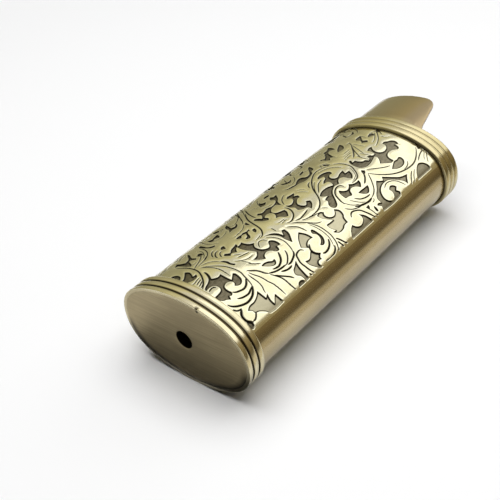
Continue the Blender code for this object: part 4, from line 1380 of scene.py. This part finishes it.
def lay_table(look):
    """The white table, lit near the case and fading into the white background far out."""
    material = bpy.data.materials.new("white table")
    material.use_nodes = True
    tree = material.node_tree
    white = [look.table_white] * 3
    from_case = node(tree, "ShaderNodeVectorMath", {0: own_coordinates(tree)}, operation="LENGTH")
    far = ramp(tree, from_case.outputs["Value"], look.table_near, look.table_far)
    seen = seen_white(tree, rays_of(tree)["Is Glossy Ray"])
    values = {"Roughness": TABLE_ROUGH, "Specular IOR Level": 0.0, "Emission Color": WHITE,
              "Base Color": colour_between(tree, far, white, BLACK),
              "Emission Strength": math_node(tree, "MULTIPLY", seen, far)}
    for name, value in values.items():
        feed(tree, shader_of(tree).inputs[name], value)
    half = TABLE_HALF
    set_piece("table", [(-half, -half, 0), (half, -half, 0), (half, half, 0), (-half, half, 0)], material)


def light_world(look):
    """White to the camera and in the brass, and almost dark as a light."""
    world = bpy.data.worlds.new("studio")
    bpy.context.scene.world = world
    world.use_nodes = True
    tree = world.node_tree
    inputs = tree.nodes["Background"].inputs
    rays = rays_of(tree)
    direct = math_node(tree, "LESS_THAN", rays["Diffuse Depth"], 0.5)
    mirrored = math_node(tree, "MULTIPLY", rays["Is Glossy Ray"], direct)
    feed(tree, inputs["Color"], WHITE)
    feed(tree, inputs["Strength"], value_between(tree, seen_white(tree, mirrored), look.sky_level, 1.0))


def place_lights(look):
    """A large softbox behind the mouth, a cloth overhead, and the cards that the metal mirrors; the front
    cards are a painted shadow of the case on the table.
    """
    cloth = glowing("softbox cloth", WHITE, look.softbox_level)
    tree = cloth.node_tree
    mirrored = rays_of(tree)["Is Glossy Ray"]
    glow_level(cloth, value_between(tree, mirrored, look.softbox_on_table, look.softbox_level))
    lamp("softbox", SOFTBOX, cloth)
    overhead = lamp("overhead", OVERHEAD, glowing("overhead cloth", WHITE, look.overhead_level))
    overhead.visible_glossy = False
    room = glowing("dim room", look.room_tint, look.room_level)
    card("room_right", ROOM_RIGHT, room)
    card("room_front", ROOM_FRONT, room)
    for name, corners, tint, axis, places, levels in (
        ("right_card", RIGHT_CARD, look.right_tint, "Z", RIGHT_FADE, (look.right_low, look.right_high)),
        ("right_foot_card", lying(RIGHT_FOOT), look.right_foot_tint, "X", RIGHT_FOOT_FADE,
         (look.right_low, look.right_foot)),
        ("left_card", LEFT_CARD, look.left_tint, "Z", LEFT_FADE, (look.left_low, 1.0)),
        # Painted shadow of the case on the table, seen only in the metal
        ("front_shadow_card", lying(FRONT_SHADOW_CARD), look.front_tint, "Y", FRONT_FADE,
         (look.front_near, look.front_far)),
        ("front_left_shadow_card", lying(FRONT_LEFT_SHADOW_CARD), look.front_tint, "X", FRONT_LEFT_FADE,
         (look.front_step, look.front_left)),
    ):
        card(name, corners, fading(name.replace("_", " "), tint, axis, places, levels))


def set_camera():
    lens = bpy.data.cameras.new("camera")
    lens.lens = CAMERA_LENS
    lens.sensor_width = CAMERA_SENSOR
    lens.clip_start = NEAREST_SEEN
    lens.clip_end = FARTHEST_SEEN
    camera = bpy.data.objects.new("camera", lens)
    right, up = Vector(CAMERA_RIGHT), Vector(CAMERA_UP)
    turned_as = Matrix((right, up, right.cross(up))).transposed().to_4x4()
    turned_as.translation = Vector(CAMERA_AT)
    camera.matrix_world = turned_as
    bpy.context.scene.collection.objects.link(camera)
    bpy.context.scene.camera = camera


def build_stage(look):
    lay_table(look)
    light_world(look)
    place_lights(look)
    set_camera()
    bpy.context.scene.view_settings.view_transform = "Standard"


# Add-on

def length(name, description, default):
    return FloatProperty(name=name, description=description, default=default, unit="LENGTH", precision=5)


def level(name, description, default):
    return FloatProperty(name=name, description=description, default=default, min=0.0)


def count(name, description, default):
    return IntProperty(name=name, description=description, default=default, min=1)


def colour(name, description, default):
    return FloatVectorProperty(name=name, description=description, default=default, subtype="COLOR",
                               min=0.0, max=1.0)


class SleeveLook(bpy.types.PropertyGroup):
    brass: colour("Brass", "Brushed brass of the tube's outside", (0.43, 0.36, 0.215))
    dull: colour("Dull brass", "The same where tarnish clouds it", (0.385, 0.32, 0.19))
    # The guard's brass and the brass inside the tube are darker copies of the tube's brass: painted shade
    guard_shaded_brass: colour("Guard brass", "Browner brass of the wind guard", (0.30, 0.23, 0.125))
    inner_shaded_brass: colour("Inner brass", "Dull brass inside the tube", (0.22, 0.165, 0.105))
    sheet: length("Sheet", "Thickness of the tube's wall", 0.75 * MM)
    edge_round: length("Edge round", "Radius of the mouth's rounded edges", 0.12 * MM)
    guard_reach: length("Guard reach", "Where the guard's leaning edge would meet the rim, from the middle",
                        5.5 * MM)
    guard_lean: FloatProperty(name="Guard lean", description="Lean of the guard's free edge",
                              default=math.radians(15), subtype="ANGLE")
    tip_radius: length("Tip radius", "Radius of the guard's upper corner", 3.0 * MM)
    root_radius: length("Root radius", "Radius of the fillet at the guard's root", 2.2 * MM)
    # Where the painted shade on the guard is full, and how far it fades out
    guard_fade: length("Guard fade", "How far above the rim the guard's brown begins in full", 1 * MM)
    guard_clouding: length("Guard clouding", "How far towards the guard's middle it grows", 9 * MM)
    edge_points: count("Edge points", "Points along each straight part of the edge", 90)
    bend_points: count("Bend points", "Points along each bend of the edge", 20)
    lip_points: count("Lip points", "Points across each rounded lip", 5)
    wall_rows: count("Wall rows", "Rows of faces between the field and the lip", 8)


class CarvingLook(bpy.types.PropertyGroup):
    brass: colour("Brass", "Polished brass of the leaves", (0.61, 0.57, 0.39))
    dull: colour("Dull brass", "The same where tarnish clouds it", (0.53, 0.49, 0.32))
    # Pale brass of the painted highlight on the lips beside lines and pockets
    lip_highlight_brass: colour("Lip brass", "Rubbed brass beside lines and pockets", (0.70, 0.67, 0.49))
    ground_brass: colour("Ground brass", "Dark brass of the sunk ground", (0.090, 0.078, 0.048))
    lit_ground_brass: colour("Ground specks", "Lighter specks of the ground", (0.165, 0.145, 0.096))
    # This colour is also that of the painted shadow under the upper band
    patina: colour("Patina", "What is left in lines and at the foot of walls", (0.012, 0.010, 0.006))
    ground_depth: length("Ground depth", "How far the ground is sunk below the leaves", 0.25 * MM)
    wall_run: length("Wall run", "Width of the sloping walls of the pockets", 0.20 * MM)
    ink_width: length("Patina width", "Width of the dark seam at the foot of the walls", 0.30 * MM)
    line_weight: level("Line weight", "How bold the engraved lines are", 1.2)
    line_slope: level("Line slope", "Depth of an engraved line for its half width", 0.75)
    fullness: level("Line fullness", "How soon a line reaches its greatest width", 1.6)
    crown: length("Crown", "How far the leaves roll off towards their edges", 0.045 * MM)
    crown_run: length("Crown run", "Width of that roll", 0.45 * MM)
    # The reach of the painted highlight on the lips
    lip_width: length("Lip width", "How far the worn lip reaches from a pocket or line", 0.42 * MM)
    rub_from: length("Rubbed from", "Where the patina starts to thin towards the mouth", 47 * MM)
    rub_run: length("Rubbing run", "How far it takes to thin", 9 * MM)
    rubbed_ink: level("Rubbed ink", "How much of the cut lines' patina is gone there", 0.12)
    rubbed_ground: level("Rubbed ground", "How bright the ground is rubbed there", 0.11)
    reach: length("Reach", "How far from a line or pocket its roll is felt", 1.0 * MM)
    columns: count("Columns", "Columns of faces round the field", 356)
    rows: count("Rows", "Rows of faces in each band of the field", 254)
    bands: count("Bands", "Bands that each carved field is built in", 3)


class PlateLook(bpy.types.PropertyGroup):
    brass: colour("Brass", "Brushed brass of the end plate", (0.49, 0.415, 0.25))
    dull: colour("Dull brass", "The same where tarnish clouds it", (0.42, 0.355, 0.215))
    streak: colour("Streaks", "Darker streaks of the brushing", (0.34, 0.285, 0.175))
    # Colour of the painted shade in the hole and low on the rim
    patina: colour("Patina", "What is left in the hole and at the lower rim", (0.012, 0.010, 0.006))
    thickness: length("Thickness", "Thickness of the end plate", 1.0 * MM)
    seat_rise: length("Seat rise", "How far its middle stands up inside the tube",
                      PLATE_HIGH.y - PLATE_LOW.y - 1.0 * MM)
    hole_diameter: length("Hole diameter", "Diameter of the push-out hole", 3.4 * MM)
    hole_round: length("Hole round", "Radius of the hole's rounded edge", 0.15 * MM)
    rim_round: length("Rim round", "Radius of the plate's rounded rim", 0.02 * MM)
    edge_inset: length("Edge inset", "How far the rim lies inside the crowns of the beads", 0.665 * MM)
    # How far below the axis the painted shade on the rim grows
    rim_clouding: length("Rim clouding", "How far below the axis the rim's patina grows", 3 * MM)
    seat_inset: length("Seat inset", "How far the seat lies inside the crowns of the beads", 1.72 * MM)


class CollarLook(bpy.types.PropertyGroup):
    lower_brass: colour("Lower brass", "Brass of the lower band", (0.65, 0.59, 0.40))
    lower_dull: colour("Lower dull brass", "The same where tarnish clouds it", (0.52, 0.465, 0.30))
    # Darker colours of the same brass as the lower band: painted shade
    upper_shaded_brass: colour("Upper brass", "Brass of the upper band", (0.53, 0.465, 0.27))
    upper_shaded_dull: colour("Upper dull brass", "The same where tarnish clouds it", (0.42, 0.36, 0.19))
    # This colour is also that of the painted shade low on the lower band's ground edge
    patina: colour("Patina", "What is left in the grooves", (0.058, 0.044, 0.020))
    bead_pitch: length("Bead pitch", "Distance between beads", 1.45 * MM)
    bead_count: count("Bead count", "Beads in each band", 3)
    groove_depth: length("Groove depth", "Depth of the grooves between beads", 0.26 * MM)
    upper_groove_depth: length("Upper groove depth", "Depth of the grooves in the upper band", 0.15 * MM)
    upper_patina: level("Upper patina", "How dark the upper band's grooves are", 0.10)
    edge_line: length("Edge line", "Width of the dark line where a band meets the tube", 0.03 * MM)
    groove_width: length("Groove width", "Width of the grooves at their foot", 0.28 * MM)
    patina_fade: length("Patina fade", "How far the patina of the grooves reaches up the beads", 0.18 * MM)
    # Painted shade low on the lower band's ground edge: how far below the axis it grows, how far up the
    # first bead it reaches, and how soon it ends
    foot_clouding: length("Foot clouding", "How far below the axis the ground edge's patina grows", 4 * MM)
    foot_shade: length("Foot patina", "How far that patina reaches up the first bead", 1.4 * MM)
    foot_fade: length("Foot fade", "How far it takes to end", 0.6 * MM)
    bead_power: level("Bead power", "2 is a round bead, more is a flatter one", 2.5)
    bead_points: count("Bead points", "Points across each bead", 15)
    bore_inset: length("Bore inset", "How far the bore lies inside the crowns of the beads", 0.66 * MM)
    ground_off: length("Ground off", "How much of the lower band's first bead is ground away", 0.30 * MM)
    ground_round: length("Ground round", "Radius left on the ground edge", 0.08 * MM)
    oval_points: count("Oval points", "Points round the oval", 360)
    nick_x: length("Nick", "Where the dent in the lower band is, from the middle", 4.5 * MM)
    nick_width: length("Nick width", "Half width of the dent", 0.30 * MM)
    nick_depth: length("Nick depth", "Depth of the dent", 0.25 * MM)
    fit_slack: length("Fit slack", "How far a band may lie from the packed one", 0.10 * MM)


class StageLook(bpy.types.PropertyGroup):
    right_tint: colour("Right tint", "Colour of the right card", (1.0, 0.81, 0.46))
    right_foot_tint: colour("Right foot tint", "Colour of its foot on the table", (1.0, 0.92, 0.74))
    left_tint: colour("Left tint", "Colour of the left card", (1.0, 0.955, 0.64))
    # The front cards' colour is that of a painted shadow
    front_tint: colour("Front tint", "Colour of the front cards", (1.0, 0.97, 0.92))
    room_tint: colour("Room tint", "Colour of the dim room", (1.0, 0.97, 0.90))
    table_white: level("Table white", "How white the table is", 0.9)
    table_near: length("Table near", "How far out the table is lit by the lamps alone", 0.14)
    table_far: length("Table far", "How far out the table has faded into the white background", 0.36)
    sky_level: level("Sky level", "Light from all round", 0.02)
    overhead_level: level("Overhead level", "Brightness of the overhead cloth", 3.65)
    room_level: level("Room level", "Brightness of the dim room in front", 0.25)
    softbox_level: level("Softbox level", "Brightness of the softbox in the metal", 2.0)
    softbox_on_table: level("Softbox on table", "Its brightness on the table", 0.9)
    right_foot: level("Right foot", "Level of the right card's foot near the case", 0.88)
    # Levels of the painted shadow on the front left card
    front_step: level("Front step", "Level where the front left card begins", 0.36)
    front_left: level("Front left", "Level of the front left card far out", 0.75)
    right_low: level("Right card foot", "Level at the foot of the right card", 0.19)
    right_high: level("Right card top", "Level at the top of the right card", 0.46)
    left_low: level("Left card foot", "Level at the foot of the left card", 0.47)
    # Levels of the painted shadow on the front card, darkest next to the case
    front_near: level("Front card near", "Level next to the case", 0.07)
    front_far: level("Front card far", "Level away from the case", 0.55)


class LIGHTER_OT_sleeve(bpy.types.Operator):
    """Build the tube with its wind guard"""
    bl_idname = "lighter_case.sleeve"
    bl_label = "Sleeve"

    def execute(self, context):
        build_sleeve(context.scene.lighter_sleeve)
        return {"FINISHED"}


class LIGHTER_OT_carving(bpy.types.Operator):
    """Carve the scrollwork of the two broad faces"""
    bl_idname = "lighter_case.carving"
    bl_label = "Carving"

    def execute(self, context):
        build_carving(context.scene.lighter_carving)
        return {"FINISHED"}


class LIGHTER_OT_plate(bpy.types.Operator):
    """Build the plate that closes the lower end"""
    bl_idname = "lighter_case.plate"
    bl_label = "End plate"

    def execute(self, context):
        build_plate(context.scene.lighter_plate)
        return {"FINISHED"}


class LIGHTER_OT_collars(bpy.types.Operator):
    """Sweep the two bands of beads round the tube"""
    bl_idname = "lighter_case.collars"
    bl_label = "Bead bands"

    def execute(self, context):
        build_collars(context.scene.lighter_collars)
        return {"FINISHED"}


class LIGHTER_OT_stage(bpy.types.Operator):
    """Set up the white table, the lights and the camera"""
    bl_idname = "lighter_case.stage"
    bl_label = "Studio"

    def execute(self, context):
        build_stage(context.scene.lighter_stage)
        return {"FINISHED"}


OPERATORS = (LIGHTER_OT_sleeve, LIGHTER_OT_carving, LIGHTER_OT_plate, LIGHTER_OT_collars, LIGHTER_OT_stage)
LOOKS = {"lighter_sleeve": SleeveLook, "lighter_carving": CarvingLook, "lighter_plate": PlateLook,
         "lighter_collars": CollarLook, "lighter_stage": StageLook}


class LIGHTER_PT_case(bpy.types.Panel):
    """Lists the pieces of the lighter case"""
    bl_idname = "LIGHTER_PT_case"
    bl_label = "Lighter case"
    bl_space_type = "VIEW_3D"
    bl_region_type = "UI"
    bl_category = "Lighter Case"

    def draw(self, context):
        for operator in OPERATORS:
            self.layout.operator(operator.bl_idname)


def register():
    for group in LOOKS.values():
        bpy.utils.register_class(group)
    for operator in OPERATORS:
        bpy.utils.register_class(operator)
    bpy.utils.register_class(LIGHTER_PT_case)
    for name, group in LOOKS.items():
        setattr(bpy.types.Scene, name, PointerProperty(type=group))


def unregister():
    for name in LOOKS:
        delattr(bpy.types.Scene, name)
    for item in (LIGHTER_PT_case, *reversed(OPERATORS), *LOOKS.values()):
        bpy.utils.unregister_class(item)


def main():
    register()
    bpy.ops.lighter_case.sleeve()
    bpy.ops.lighter_case.carving()
    bpy.ops.lighter_case.plate()
    bpy.ops.lighter_case.collars()
    bpy.ops.lighter_case.stage()


if __name__ == "__main__":
    main()
